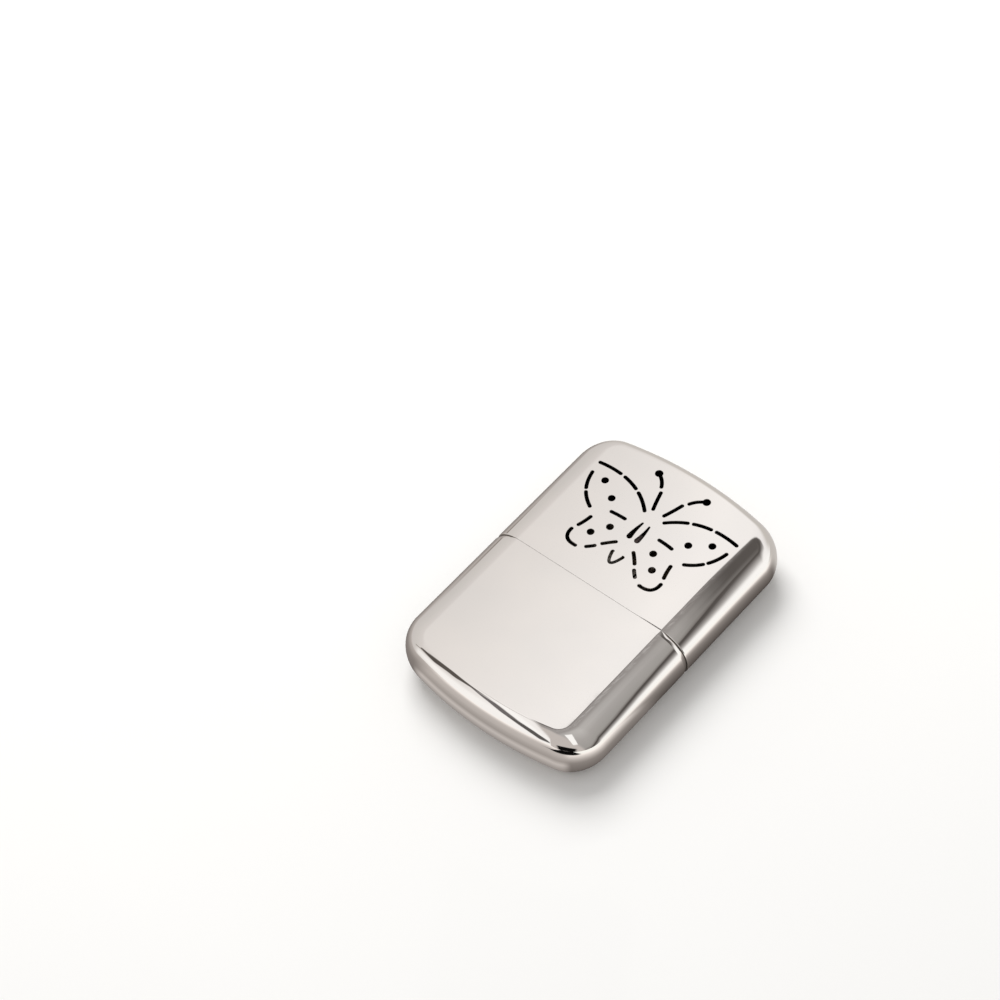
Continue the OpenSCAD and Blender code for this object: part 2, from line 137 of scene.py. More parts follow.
def make_piece(name, patches, finish, slot, body, *nodes):
    """Joins smooth patches into one mesh in place of the named solids.

    Points in one place become one, so that seams close. A patch's faces are all
    turned to the side that its normals point to, and keep them at their corners.
    """
    points = np.vstack([p for p, n, f, i in patches])
    normals = np.vstack([n for p, n, f, i in patches])
    normals = normals / np.linalg.norm(normals, axis=1, keepdims=True)
    inside = np.concatenate([np.full(len(p), i) for p, n, f, i in patches])
    start = np.cumsum([0] + [len(p) for p, n, f, i in patches])
    faces = np.vstack([f + s for (p, n, f, i), s in zip(patches, start)])
    a, b, c = (points[faces[:, k]] for k in range(3))
    lean = (np.cross(b - a, c - a) * normals[faces].sum(1)).sum(1)
    owner = np.repeat(np.arange(len(patches)), [len(f) for p, n, f, i in patches])
    turned = (np.bincount(owner, lean) < 0)[owner]
    faces[turned] = faces[turned][:, ::-1]
    keys = np.round(points * 1e4).astype(np.int64)
    _, first, same = np.unique(keys, axis=0, return_index=True, return_inverse=True)
    joined = same.reshape(-1)[faces]
    kept = (joined != np.roll(joined, 1, 1)).all(1)
    used, corners = np.unique(joined[kept], return_inverse=True)
    mesh = bpy.data.meshes.new(name)
    mesh.from_pydata((points[first[used]] * MM).tolist(), [], corners.reshape(-1, 3).tolist())
    mesh.polygons.foreach_set("use_smooth", np.ones(len(mesh.polygons), bool))
    mesh.materials.append(finish)
    mesh.update()
    mesh.attributes.new("inside", "FLOAT", "POINT").data.foreach_set("value", inside[first[used]])
    mesh.normals_split_custom_set(normals[faces[kept]].reshape(-1, 3).tolist())
    piece = bpy.data.objects.new(name, mesh)
    bpy.context.scene.collection.objects.link(piece)
    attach(piece, body)
    if nodes:
        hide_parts(*nodes)
    return piece


def sheet_faces(loops, extra=None):
    """Triangles of a flat sheet bounded by the first loop, with the others cut out.

    A triangle stays where a line from its middle crosses the loops an odd number
    of times. Returns the points of all loops and the triangles between them.
    """
    points = np.vstack(loops + ([extra] if extra is not None else []))
    start = np.cumsum([0] + [len(loop) for loop in loops])
    here = np.arange(start[-1])
    after = np.concatenate([np.roll(np.arange(s, e), -1) for s, e in zip(start, start[1:])])
    edges = np.column_stack([here, after])
    out = delaunay_2d_cdt([Vector(p) for p in points.tolist()], edges.tolist(), [], 0, 1e-7)
    faces = np.array([o[0] for o in out[3]])[np.array(out[2])]
    mid = points[faces].mean(1)
    p, q = points[here], points[after]
    spans = (p[:, 1] > mid[:, 1:]) != (q[:, 1] > mid[:, 1:])
    rise = np.where(q[:, 1] == p[:, 1], 1, q[:, 1] - p[:, 1])
    cross_x = p[:, 0] + (q[:, 0] - p[:, 0]) * (mid[:, 1:] - p[:, 1]) / rise
    inside = (spans & (mid[:, :1] < cross_x)).sum(1) % 2 == 1
    return points, faces[inside]


# ------------------------------------------------------------------- case form


def end_path(half_w, end_y, corner_r, end_r, start_y):
    """Right side, bulged end and left side of the case seen from the front.

    Straight up from start_y, round the corner's arc to where it touches the end's
    arc, along that to the middle, and the same mirrored.
    """
    low = end_y - end_r
    cx = half_w - corner_r
    cy = low + np.sqrt((end_r - corner_r) ** 2 - cx**2)
    turn = np.arctan2(cy - low, cx)
    side = start_y + (cy - start_y) * np.linspace(0, 1, 13)[:-1]
    a = np.linspace(0, turn, 33)
    e = np.linspace(turn, np.pi - turn, 73)[1:-1]
    right = np.vstack([
        np.column_stack([np.full(len(side), half_w), side]),
        np.column_stack([cx + corner_r * np.cos(a), cy + corner_r * np.sin(a)]),
    ])
    end = np.column_stack([end_r * np.cos(e), low + end_r * np.sin(e)])
    return np.vstack([right, end, right[::-1] * [-1, 1]])


def case_skin(end_y, start_y, cols=73):
    """The case's outside and its normals, from the joint line to the end.

    Each row starts on the flat face's edge and goes round in half an ellipse to
    the back's: flat edge + (outline - flat edge) * sin a, and half_t * cos a. The
    normal is the cross product of the slopes along the row and across the rows.
    """
    edge = end_path(HALF_W, end_y, CORNER_R, END_R, start_y)[:, None]
    flat = end_path(HALF_W - HALF_T, end_y - END_ROUND, FLAT_CORNER_R, END_R - END_ROUND, start_y)
    flat = flat[:, None]
    a = np.linspace(0, np.pi, cols)[None, :, None]
    height = HALF_T * np.cos(a) + 0 * edge[..., :1]
    points = np.concatenate([flat + (edge - flat) * np.sin(a), height], 2)
    along = np.concatenate([(edge - flat) * np.cos(a), -HALF_T * np.sin(a) + 0 * edge[..., :1]], 2)
    normals = np.cross(np.gradient(points, axis=0), along)
    normals /= np.linalg.norm(normals, axis=2, keepdims=True)
    return points, normals * np.sign(normals[:1, :1, 2:])


def rim_roll(points, normals, roll):
    """The rim's turned edge, on rows of the skin's first row moved back to y = 0.

    Its section is x ** p + y ** p = 1 with p = 1.3, nearly a straight slope with
    soft ends, stretched to the reach along the case and the depth. The depth grows
    from the flats' share of it to all of it as the side turns away from them.
    """
    reach, depth, flat_share = roll
    aside = np.clip(np.abs(normals[..., :1]) / 0.35, 0, 1)
    depth = depth * (flat_share + (1 - flat_share) * aside**2 * (3 - 2 * aside))
    t = np.linspace(0, np.pi / 2, 15)[:-1, None, None]
    power = 1.3
    along, down = np.cos(t) ** (2 / power), np.sin(t) ** (2 / power)
    rows = points * [1, 0, 1] + [0, 1, 0] * (reach * (1 - along)) - normals * depth * (1 - down)
    turned = normals * down ** (power - 1) * reach - np.array([0, 1, 0]) * along ** (power - 1) * depth
    return rows, turned / np.linalg.norm(turned, axis=2, keepdims=True)


def drawn_shell(end_y, roll, place, vents):
    """Patches of a drawn shell, open at the joint line and closed at its far end.

    place turns its own millimetres (y up from the joint line) into the case's.
    vents are loops cut through the front: (middles, ways out, half widths).
    """
    skin, normals = case_skin(end_y, roll[0])
    inner = skin - normals * WALL
    inner[[0, -1], :, 1] = 0
    # inside=1.0 marks the inner sheet, whose colour the finish darkens with painted shade
    parts = [patch(skin, normals), patch(inner, -normals, inside=1.0)]
    # rim: both sides and the two flats between them, as one band all the way round
    band = np.concatenate([skin[0], skin[-1][::-1]])
    band_n = np.concatenate([normals[0], normals[-1][::-1]])
    rolled, rolled_n = rim_roll(band[None], band_n[None], roll)
    rows = np.concatenate([rolled, band[None]])
    rows_n = np.concatenate([rolled_n, band_n[None]])
    parts.append(patch(rows, rows_n, closed=True))
    lip = np.concatenate([inner[0], inner[-1][::-1]])
    # the lip inside the rim is half darkened with painted shade
    parts.append(patch(np.stack([rows[0], lip]), [0, -1, 0], closed=True, inside=0.5))
    # the flats, outside and inside
    for col, up in ((0, 1), (-1, -1)):
        holes = vents if up == 1 else []
        loops = [skin[:, col, :2]] + [m + w * (h + PUNCH_ROLL)[:, None] for m, w, h in holes]
        flat, faces = sheet_faces(loops)
        level = np.full((len(flat), 1), up * HALF_T)
        parts.append(patch(np.hstack([flat, level]), [0, 0, up], faces))
        loops = [inner[:, col, :2]] + [m + w * h[:, None] for m, w, h in holes]
        flat, faces = sheet_faces(loops)
        level = np.full((len(flat), 1), up * (HALF_T - WALL))
        parts.append(patch(np.hstack([flat, level]), [0, 0, -up], faces, inside=1.0))
    # each vent: the drawn edge, a quarter circle, then the punched wall
    t = np.linspace(0, np.pi / 2, 6)[:, None]
    for m, w, h in vents:
        out = (h + PUNCH_ROLL * (1 - np.sin(t)))[..., None]
        level = HALF_T - PUNCH_ROLL * (1 - np.cos(t))[..., None] + 0 * out
        ring = np.concatenate([m + w * out, level], 2)
        ring_n = np.concatenate([-w * np.sin(t)[..., None], np.cos(t)[..., None] + 0 * out], 2)
        parts.append(patch(ring, ring_n, closed=True))
        foot = np.column_stack([m + w * h[:, None], np.full(len(m), HALF_T - WALL)])
        wall_n = np.column_stack([-w, np.zeros(len(m))])
        wall = np.stack([ring[-1], foot])
        # the punched wall is darkened with painted shade, as the inside is
        parts.append(patch(wall, np.stack([wall_n, wall_n]), closed=True, inside=1.0))
    return [place(part) for part in parts]


def placed(sign, y):
    """Turns a part's own y into the case's: sign 1 for the cap, -1 for the tank."""
    return lambda part: (part[0] * [1, sign, 1] + [0, y, MID_Z], part[1] * [1, sign, 1], *part[2:])


# ---------------------------------------------------------- sheet round a slot


def rounded(corners, steps=6):
    """A closed outline with arcs for corners, each given as (along, up, radius).

    An arc starts radius * tan(turn / 2) before its corner and turns about the
    point that lies its radius to the side there. The ways out point to the right
    of the way round, so they are outwards where that is against the clock.
    """
    corner = np.array([c[:2] for c in corners], float)
    radius = np.array([c[2] for c in corners], float)[:, None]
    before = corner - np.roll(corner, 1, 0)
    before /= np.linalg.norm(before, axis=1, keepdims=True)
    after = np.roll(before, -1, 0)
    side = before[:, ::-1] * [-1, 1]
    turn = np.arctan2((side * after).sum(1), (before * after).sum(1))[:, None]
    hand = np.sign(turn)
    middle = corner - before * radius * np.tan(np.abs(turn) / 2) + side * hand * radius
    spin = (turn * np.linspace(0, 1, steps))[..., None]
    out = (-side * hand)[:, None]
    spun = np.cos(spin) * out + np.sin(spin) * out[..., ::-1] * [-1, 1]
    points = middle[:, None] + radius[:, None] * spun
    return points.reshape(-1, 2), (spun * hand[:, None]).reshape(-1, 2)


def slot_rows(run, reach, y, sides=0):
    """Rows of points round a slot's outline, each at its own straight run, reach and y.

    x = run / 2 * share + reach * cos t and z = reach * sin t, where share is 1 round
    the right end, -1 round the left end and goes evenly between along the straights.
    Returns the points, and (cos t, sin t), the way out at each column.
    """
    end = np.radians(np.linspace(-90, 90, 29))
    straight = np.linspace(1, -1, sides + 2)[1:-1]
    t = np.concatenate([end, np.full(sides, np.pi / 2), end + np.pi, np.full(sides, -np.pi / 2)])
    share = np.concatenate([np.ones(29), straight, -np.ones(29), -straight])
    run, reach, y = (np.asarray(k, float)[:, None] for k in (run, reach, y))
    points = np.stack([run / 2 * share + reach * np.cos(t), y + 0 * t, MID_Z + reach * np.sin(t)], 2)
    return points, np.stack([np.cos(t), np.sin(t)], 1)


def slot_ring(runs, corners):
    """A ring of sheet round a slot: a section with round corners, carried round it.

    A corner is (reach, y, radius), and runs give the slot's straight run at each.
    """
    section, ways = rounded(corners)
    loop = np.append(np.arange(len(section)), 0)
    run = np.repeat(runs, len(section) // len(corners))[loop]
    points, out = slot_rows(run, section[loop, 0], section[loop, 1])
    ways = ways[loop][:, None]
    normals = np.stack([ways[..., 0] * out[:, 0], ways[..., 1] + 0 * out[:, 0], ways[..., 0] * out[:, 1]], 2)
    return patch(points, normals, closed=True)


def finer(loop, step):
    """The loop's sides cut into equal pieces no longer than step."""
    side = np.roll(loop, -1, 0) - loop
    count = np.maximum(np.ceil(np.linalg.norm(side, axis=1) / step), 1).astype(int)
    which = np.repeat(np.arange(len(loop)), count)
    nth = np.arange(len(which)) - (np.cumsum(count) - count)[which]
    return loop[which] + side[which] * (nth / count[which])[:, None]


def wrapped(run, reach, along):
    """The place and the way out a distance along a slot's outline.

    From the middle of the front straight: x follows along to the straight's end,
    then the end's arc is turned by what is left over the reach, up to half a turn,
    and what is still left goes back along the other straight.
    """
    half = run + np.pi * reach
    along = (along + half) % (2 * half) - half
    past = np.abs(along) - run / 2
    turn = np.clip(past / reach, 0, np.pi)
    hand = np.sign(along)
    x = hand * (np.minimum(np.abs(along), run / 2) - np.maximum(past - np.pi * reach, 0))
    return x, np.stack([hand * np.sin(turn), np.cos(turn)], 1)


def pierced_band(run, reach, wall, outline, holes, press, rows, step=0.55):
    """Sheet bent round a slot, cut from a flat strip with holes in it.

    outline and holes are loops in the flat, (along, y). reach is to the sheet's
    middle, wall its thickness, and press(y) how far it is pressed in. rows are the
    heights that get points across the strip.
    """
    loops = [finer(outline, step)] + holes
    ends = outline[:, 0].min(), outline[:, 0].max()
    columns = np.arange(ends[0] + step, ends[1] - step / 3, step)
    grid = np.stack(np.meshgrid(columns, rows), 2).reshape(-1, 2)
    edges = np.vstack(loops)
    far = np.linalg.norm(grid[:, None] - edges, axis=2).min(1) > step / 3
    flat, faces = sheet_faces(loops, grid[far])

    def bent(points, out):
        x, way = wrapped(run, reach, points[:, 0])
        off = reach + out * wall / 2 - press(points[:, 1])
        return np.column_stack([x + way[:, 0] * off, points[:, 1], MID_Z + way[:, 1] * off]), way

    slope = (press(flat[:, 1] + 0.01) - press(flat[:, 1] - 0.01)) / 0.02
    parts = []
    for out in (1, -1):
        points, way = bent(flat, out)
        parts.append(patch(points, out * np.column_stack([way[:, 0], slope, way[:, 1]]), faces))
    for k, loop in enumerate(loops):
        closing = np.vstack([loop, loop[:1]])
        tangent = np.roll(loop, -1, 0) - np.roll(loop, 1, 0)
        side = np.vstack([tangent, tangent[:1]])[:, ::-1] * ([1, -1] if k == 0 else [-1, 1])
        (outer, way), (inner, _) = bent(closing, 1), bent(closing, -1)
        turned = np.column_stack([side[:, 0] * way[:, 1], side[:, 1], -side[:, 0] * way[:, 0]])
        faces = grid_faces(2, len(closing))
        seam = np.isin(closing[:, 0], ends)
        faces = faces[~seam[faces % len(closing)].all(1)]
        parts.append(patch(np.stack([outer, inner]), np.stack([turned, turned]), faces))
    return parts


def plate(outline, holes, low, high, roll):
    """A flat plate across the case, with every edge rounded over by roll.

    Loops are (points, ways out) in x and z, against the clock. Each edge is a
    quarter circle on the upper side and one on the lower side.
    """
    t = np.linspace(0, np.pi / 2, 5)[:, None, None]
    place = np.array([[1, 0, 0], [0, 0, 1]])
    parts, inner = [], []
    for sign, (points, ways) in [(1, outline)] + [(-1, hole) for hole in holes]:
        inner.append(points - sign * roll * ways)
        flat = (points - sign * roll * (1 - np.sin(t)) * ways) @ place
        turned = sign * (np.sin(t) * ways) @ place
        top = flat + [0, 1, 0] * (high - roll * (1 - np.cos(t)))
        bottom = flat + [0, 1, 0] * (low + roll * (1 - np.cos(t)))
        rows = np.concatenate([top, bottom[::-1]])
        up = [0, 1, 0] * np.cos(t)
        parts.append(patch(rows, np.concatenate([turned + up, (turned - up)[::-1]]), closed=True))
    flat, faces = sheet_faces(inner)
    for y, up in ((high, 1), (low, -1)):
        parts.append(patch(flat @ place + [0, y, 0], [0, up, 0], faces))
    return [(p + [0, 0, MID_Z], n, f, i) for p, n, f, i in parts]


# ------------------------------------------------------------ wire, felt, fibre


def woven_wires(across, length, place, sides=6):
    """Wires side by side, each a tube round a wave that goes over and under.

    The height is the wire's radius * cos(pi * along / pitch), the other way up for
    every second wire. place puts (along, across, height) in the case.
    """
    pitch, wire_r = GAUZE_PITCH, WIRE_R
    parts = []
    for k, (off, half) in enumerate(zip(across, length)):
        along = np.linspace(-half, half, 2 * int(np.ceil(half / pitch * 3)) + 1)
        phase = np.pi * along / pitch + np.pi * k
        slope = -wire_r * np.pi / pitch * np.sin(phase)
        way = np.stack([-slope, 0 * slope, 1 + 0 * slope], 1) / np.hypot(1, slope)[:, None]
        turn = np.linspace(0, 2 * np.pi, sides, endpoint=False)[:, None]
        out = way[:, None] * np.cos(turn) + np.array([0, 1, 0]) * np.sin(turn)
        line = np.stack([along, off + 0 * along, wire_r * np.cos(phase)], 1)[:, None]
        size = np.where((along == along[0]) | (along == along[-1]), 0, wire_r)[:, None, None]
        parts.append(patch(place(line + out * size), place(out), closed=True))
    return parts


def lumps(points, size, seed):
    """A gentle unevenness from -1 to 1: the mean of waves about size long, in all ways."""
    draw = np.random.default_rng(seed)
    waves = draw.normal(size=(3, 24))
    waves *= 2 * np.pi / size / np.linalg.norm(waves, axis=0) * draw.uniform(0.6, 1.4, 24)
    return np.sin(points @ waves + draw.uniform(0, 2 * np.pi, 24)).mean(2) * 2.5


def padding(points, uneven):
    """A stuffed form: a closed grid from pole to pole, moved in and out by its lumps.

    uneven holds (size, depth, seed) of each run of lumps. The form starts so far
    inside that they don't reach past it.
    """

    def outwards(rows):
        around = np.concatenate([rows[:, -1:], rows, rows[:, :1]], 1)
        ways = np.cross(np.gradient(rows, axis=0), around[:, 2:] - around[:, :-2])
        ways[[0, -1]] = ways[[1, -2]].mean(1, keepdims=True)
        ways /= np.linalg.norm(ways, axis=2, keepdims=True)
        middle = rows.reshape(-1, 3).mean(0)
        return ways * np.sign((ways * (rows - middle)).sum())

    ways = outwards(points)
    moved = sum(depth * (lumps(points, size, seed) - 1) for size, depth, seed in uneven)
    moved[[0, -1]] = moved[[0, -1]].mean(1, keepdims=True)
    points = points + ways * moved[..., None]
    return patch(points, outwards(points), closed=True)


def pad_rows(run, reach, low, high, square=0.3, rows=41):
    """A slot-shaped pad from its upper pole to its lower one.

    reach * (sin a) ** square and half the height * (cos a) ** square: the smaller
    the power, the squarer its edge.
    """
    a = np.linspace(0, np.pi, rows)
    up = np.sign(np.cos(a)) * np.abs(np.cos(a)) ** square
    out = reach * np.concatenate([[0], np.sin(a[1:-1]) ** square, [0]])
    return slot_rows(np.full(rows, run), out, (low + high) / 2 + (high - low) / 2 * up, 26)[0]


def tank_rows(inset, top_y):
    """The tank's form set in by inset, from the middle of the front round to the back's.

    Outlines of the flat face grow from its middle, go round in half an ellipse as
    the case does, and shrink on the back. Each is closed by a straight at top_y.
    """
    start = JOINT_Y - top_y
    half_t = HALF_T - inset
    edge = end_path(HALF_W - inset, TANK_LEN - inset, CORNER_R - inset, END_R - inset, start)
    flat = end_path(HALF_W - HALF_T, TANK_LEN - END_ROUND, FLAT_CORNER_R, END_R - END_ROUND, start)
    share = np.linspace(0, 1, 32)[1:-1, None]
    edge, flat = (np.vstack([p, p[-1] + (p[0] - p[-1]) * share]) for p in (edge, flat))
    middle = np.array([0, (start + TANK_LEN) / 2])
    grow = np.linspace(0, 1, 16)[:-1, None, None]
    turn = np.linspace(0, np.pi, 25)[:, None, None]
    front = middle + (flat - middle) * grow
    round_side = flat + (edge - flat) * np.sin(turn)
    height = np.concatenate([0 * grow + 1, np.cos(turn), 0 * grow - 1])
    rows = np.concatenate([front, round_side, front[::-1]])
    rows = np.concatenate([rows, half_t * height + 0 * rows[..., :1]], 2)
    return rows * [1, -1, 1] + [0, JOINT_Y, MID_Z]


# ----------------------------------------------------------------- vent shapes


def dash(line, s0=0.0, s1=1.0, w0=SLOT_W, w1=SLOT_W):
    """A slot along the curve through line[0] and line[2] that leans to line[1].

    Its loop goes up one side, round the end in a half circle, down the other side
    and round the start. Each point is a middle, a way out and a half width. Where
    the curve's tightest radius is less, the side inside the bend comes closer.
    """
    a, b, c = (np.array(p) for p in line)
    k = np.linspace(0, 1, 19)[:, None]
    s = s0 + (s1 - s0) * k
    mid = (1 - s) ** 2 * a + 2 * s * (1 - s) * b + s**2 * c
    way = (1 - s) * (b - a) + s * (c - b)
    speed = np.linalg.norm(way, axis=1)
    bend = (way[:, 0] * (c - 2 * b + a)[1] - way[:, 1] * (c - 2 * b + a)[0]) / (2 * speed**3)
    way /= speed[:, None]
    left = way[:, ::-1] * [-1, 1]
    half = (w0 + (w1 - w0) * k[:, 0]) / 2
    tightest = [max((side * bend).max(), 1e-6) for side in (1, -1)]
    inner, outer = (np.minimum(half, 0.95 / tight - PUNCH_ROLL) for tight in tightest)
    t = np.radians(np.arange(-75, 76, 15))[:, None]
    far = np.cos(t) * way[-1] + np.sin(t) * left[-1]
    near = -np.cos(t) * way[0] - np.sin(t) * left[0]
    ends = np.ones(len(t))
    return (
        np.vstack([mid, mid[-1] + 0 * far, mid[::-1], mid[0] + 0 * near]),
        np.vstack([-left, far, left[::-1], near]),
        np.concatenate([outer, half[-1] * ends, inner[::-1], half[0] * ends]),
    )


def dot(place, d):
    """A round vent: every way out of its middle, half its diameter long."""
    t = np.linspace(0, 2 * np.pi, 40, endpoint=False)
    return np.tile(place, (40, 1)), np.column_stack([np.cos(t), np.sin(t)]), np.full(40, d / 2)


def tipped(line, tip_d):
    """A slot along a curve, with a round tip at its end.

    The slot stops where its drawn edge would meet the tip's, and the tip goes round
    from one such place to the other.
    """
    tip, near = np.array(line[2], float), SLOT_W / 2 + PUNCH_ROLL
    far = tip_d / 2 + PUNCH_ROLL
    reach = np.sqrt(far**2 - near**2)
    m, w, h = dash(line, 0, 1 - reach / (2 * np.linalg.norm(tip - line[1])))
    start = np.arcsin(near / far) + 0.1
    t = np.linspace(np.pi + start, 3 * np.pi - start, 37)[:, None]
    ahead = (tip - line[1]) / np.linalg.norm(tip - line[1])
    round_w = np.cos(t) * ahead + np.sin(t) * ahead[::-1] * [-1, 1]
    order, rest = slice(0, 19), slice(30, None)
    return (
        np.vstack([m[order], tip + 0 * round_w, m[rest]]),
        np.vstack([w[order], round_w, w[rest]]),
        np.concatenate([h[order], np.full(37, tip_d / 2), h[rest]]),
    )


def vent_loops():
    """All vents of the cap: one wing's, the same mirrored, and the tail's hook."""
    wing = [dash(line, *span) for line, spans in (FORE_WING, FORE_MARGIN) for span in spans]
    wing += [dash(line) for line in SINGLE_DASHES]
    wing += [dash(BODY_SLOT, 0, 1, BODY_SLOT_W, SLOT_W / 2), tipped(FEELER_HIGH, TIP_D)]
    wing += [dot(place, DOT_D) for place in WING_DOTS]
    other = [(m * [-1, 1], w * [-1, 1], h) for m, w, h in wing]
    return [(m - [0, CAP_RIM_Y], w, h) for m, w, h in wing + other + [dash(TAIL_HOOK)]]


# ------------------------------------------------------------------- materials

TIMES = {"operation": "MULTIPLY"}
TIMES_ADD = {"operation": "MULTIPLY_ADD"}
COLOUR = {"data_type": "RGBA"}
SMOOTH = {"interpolation_type": "SMOOTHSTEP"}


def linear(hex_colour):
    """An sRGB hex colour as linear light, by the sRGB curve."""
    c = np.array([int(hex_colour[k:k + 2], 16) for k in (1, 3, 5)]) / 255
    return (*np.where(c <= 0.04045, c / 12.92, ((c + 0.055) / 1.055) ** 2.4).tolist(), 1.0)


def add(tree, kind, sets=None, stops=(), **inputs):
    """Adds a node, sets its properties and its ramp's stops, and fills its inputs.

    An input gets a value, a hex colour, a socket to link, or a node, of which the
    first output in use is linked.
    """
    node = tree.nodes.new("ShaderNode" + kind)
    for key, value in (sets or {}).items():
        setattr(node, key, value)
    for k, (at, colour) in enumerate(stops):
        line = node.color_ramp.elements
        stop = line[k] if k < len(line) else line.new(1.0)
        stop.position, stop.color = at, linear(colour)
    for key, value in inputs.items():
        socket = node.inputs[int(key[1:]) if key[1:].isdigit() else key.replace("_", " ")]
        if isinstance(value, bpy.types.Node):
            value = next(output for output in value.outputs if output.enabled)
        if isinstance(value, bpy.types.NodeSocket):
            tree.links.new(value, socket)
        else:
            socket.default_value = linear(value) if isinstance(value, str) else value
    return node


def new_material(name):
    """An empty material, with the place on the object in millimetres."""
    material = bpy.data.materials.new(name)
    material.use_nodes = True
    material.node_tree.nodes.clear()
    place = add(material.node_tree, "TexCoord").outputs["Object"]
    place = add(material.node_tree, "VectorMath", {"operation": "SCALE"}, _0=place, Scale=1 / MM)
    return material, material.node_tree, place


def noise(tree, place, size, low=0.3, high=0.7, detail=2.0):
    """Soft spots from 0 to 1. size is a spot's width in millimetres along X, Y and Z."""
    fit = add(tree, "VectorMath", {"operation": "DIVIDE"}, _0=place, _1=size)
    spots = add(tree, "TexNoise", Vector=fit, Scale=1.0, Detail=detail)
    return add(tree, "MapRange", Value=spots, From_Min=low, From_Max=high)


def polished_nickel():
    """Nickel plate over drawn steel, buffed to a mirror on the outside only.

    To the eye: sharp reflections in a warm white that swim a little on the drawn
    sheet, hair-fine buffing lines across the width, a few duller finger marks, and
    a dull sheet inside that was left as drawn, its near-black colour painted shade.
    """
    material, tree, place = new_material("mirror_polished_nickel_plate")
    inside = add(tree, "Attribute", {"attribute_name": "inside"}).outputs["Fac"]
    swim = noise(tree, place, (7, 7, 7), detail=1.0)
    # real buffing lines are a few hundredths apart; these are 0.35 mm so that they show
    lines = noise(tree, place, (14, 0.35, 0.35), detail=3.0)
    marks = noise(tree, place, (9, 6, 9), 0.55, 0.8, detail=4.0)
    tone = add(tree, "Mix", COLOUR, _0=noise(tree, place, (30, 22, 30)), _6="#f2eee9", _7="#edeae6")
    rough = add(tree, "MapRange", Value=marks, To_Min=0.025, To_Max=0.07)
    rough = add(tree, "Math", TIMES_ADD, _0=lines, _1=0.02, _2=rough)
    tilt = add(tree, "Bump", Height=swim, Distance=0.006 * MM)
    tilt = add(tree, "Bump", Height=lines, Distance=0.00006 * MM, Normal=tilt)
    # the inner sheet's near-black colour is painted shade; its dullness is its own
    shader = add(tree, "BsdfPrincipled", Metallic=1.0, Normal=tilt,
                 Base_Color=add(tree, "Mix", COLOUR, _0=inside, _6=tone, _7="#3b3835"),
                 Roughness=add(tree, "Mix", _0=inside, _2=rough, _3=0.5))
    add(tree, "OutputMaterial", Surface=shader)
    return material


def drawn_neck_plate():
    """The neck: plated and only lightly polished, so that the draw lines along it
    still show and the cap's sliding has rubbed bright patches on it."""
    material, tree, place = new_material("lightly_polished_drawn_plate")
    lines = noise(tree, place, (0.3, 9, 0.3), detail=3.0)
    rubbed = noise(tree, place, (5, 2.2, 5), 0.45, 0.75, detail=3.0)
    dull = add(tree, "Math", {"operation": "SUBTRACT"}, _0=lines, _1=rubbed)
    shader = add(tree, "BsdfPrincipled", Metallic=1.0,
                 Base_Color=add(tree, "Mix", COLOUR, _0=rubbed, _6="#d5cec6", _7="#e6e1db"),
                 Roughness=add(tree, "MapRange", Value=dull, To_Min=0.14, To_Max=0.24),
                 Normal=add(tree, "Bump", Height=lines, Distance=0.0008 * MM))
    add(tree, "OutputMaterial", Surface=shader)
    return material


def satin_mouth_plate():
    """The filler mouth: tumbled and plated, a soft even sheen with a fine grain and
    a slightly yellowed tone where fuel has dried."""
    material, tree, place = new_material("satin_plated_brass")
    grain = noise(tree, place, (0.18, 0.18, 0.18))
    dried = noise(tree, place, (3, 1.6, 3), 0.45, 0.75, detail=3.0)
    shader = add(tree, "BsdfPrincipled", Metallic=1.0,
                 Base_Color=add(tree, "Mix", COLOUR, _0=dried, _6="#d6cec2", _7="#bfae8f"),
                 Roughness=add(tree, "MapRange", Value=grain, To_Min=0.22, To_Max=0.34),
                 Normal=add(tree, "Bump", Height=grain, Distance=0.0015 * MM))
    add(tree, "OutputMaterial", Surface=shader)
    return material


def heated_stamped_steel():
    """The burner's sheet: stamped and left satin. Heat has turned it straw brown and
    then violet grey towards the catalyst, in uneven bands."""
    material, tree, place = new_material("heat_tinted_stamped_steel")
    grain = noise(tree, place, (1.2, 0.12, 1.2), detail=3.0)
    drift = noise(tree, place, (4, 3, 4))
    height = add(tree, "SeparateXYZ", _0=place).outputs["Y"]
    height = add(tree, "Math", TIMES_ADD, _0=drift, _1=3.0, _2=height)
    tone = "#938d85"
    for low, high, heated in ((13, 19, "#7e6d55"), (19, 24, "#564d51")):
        share = add(tree, "MapRange", SMOOTH, Value=height, From_Min=low, From_Max=high)
        tone = add(tree, "Mix", COLOUR, _0=share, _6=tone, _7=heated)
    shader = add(tree, "BsdfPrincipled", Metallic=1.0, Base_Color=tone,
                 Roughness=add(tree, "MapRange", Value=grain, To_Min=0.3, To_Max=0.46),
                 Normal=add(tree, "Bump", Height=grain, Distance=0.0015 * MM))
    add(tree, "OutputMaterial", Surface=shader)
    return material


def sooty_wire():
    """Gauze wire: drawn steel gone dull and dark grey with heat, with sooty spots."""
    material, tree, place = new_material("oxidised_steel_wire")
    soot = noise(tree, place, (0.9, 0.9, 0.9), 0.35, 0.65, detail=3.0)
    scale = noise(tree, place, (0.1, 0.1, 0.1))
    shader = add(tree, "BsdfPrincipled", Metallic=1.0,
                 Base_Color=add(tree, "Mix", COLOUR, _0=soot, _6="#827d77", _7="#4a4643"),
                 Roughness=add(tree, "MapRange", Value=soot, To_Min=0.38, To_Max=0.62),
                 Normal=add(tree, "Bump", Height=scale, Distance=0.004 * MM))
    add(tree, "OutputMaterial", Surface=shader)
    return material


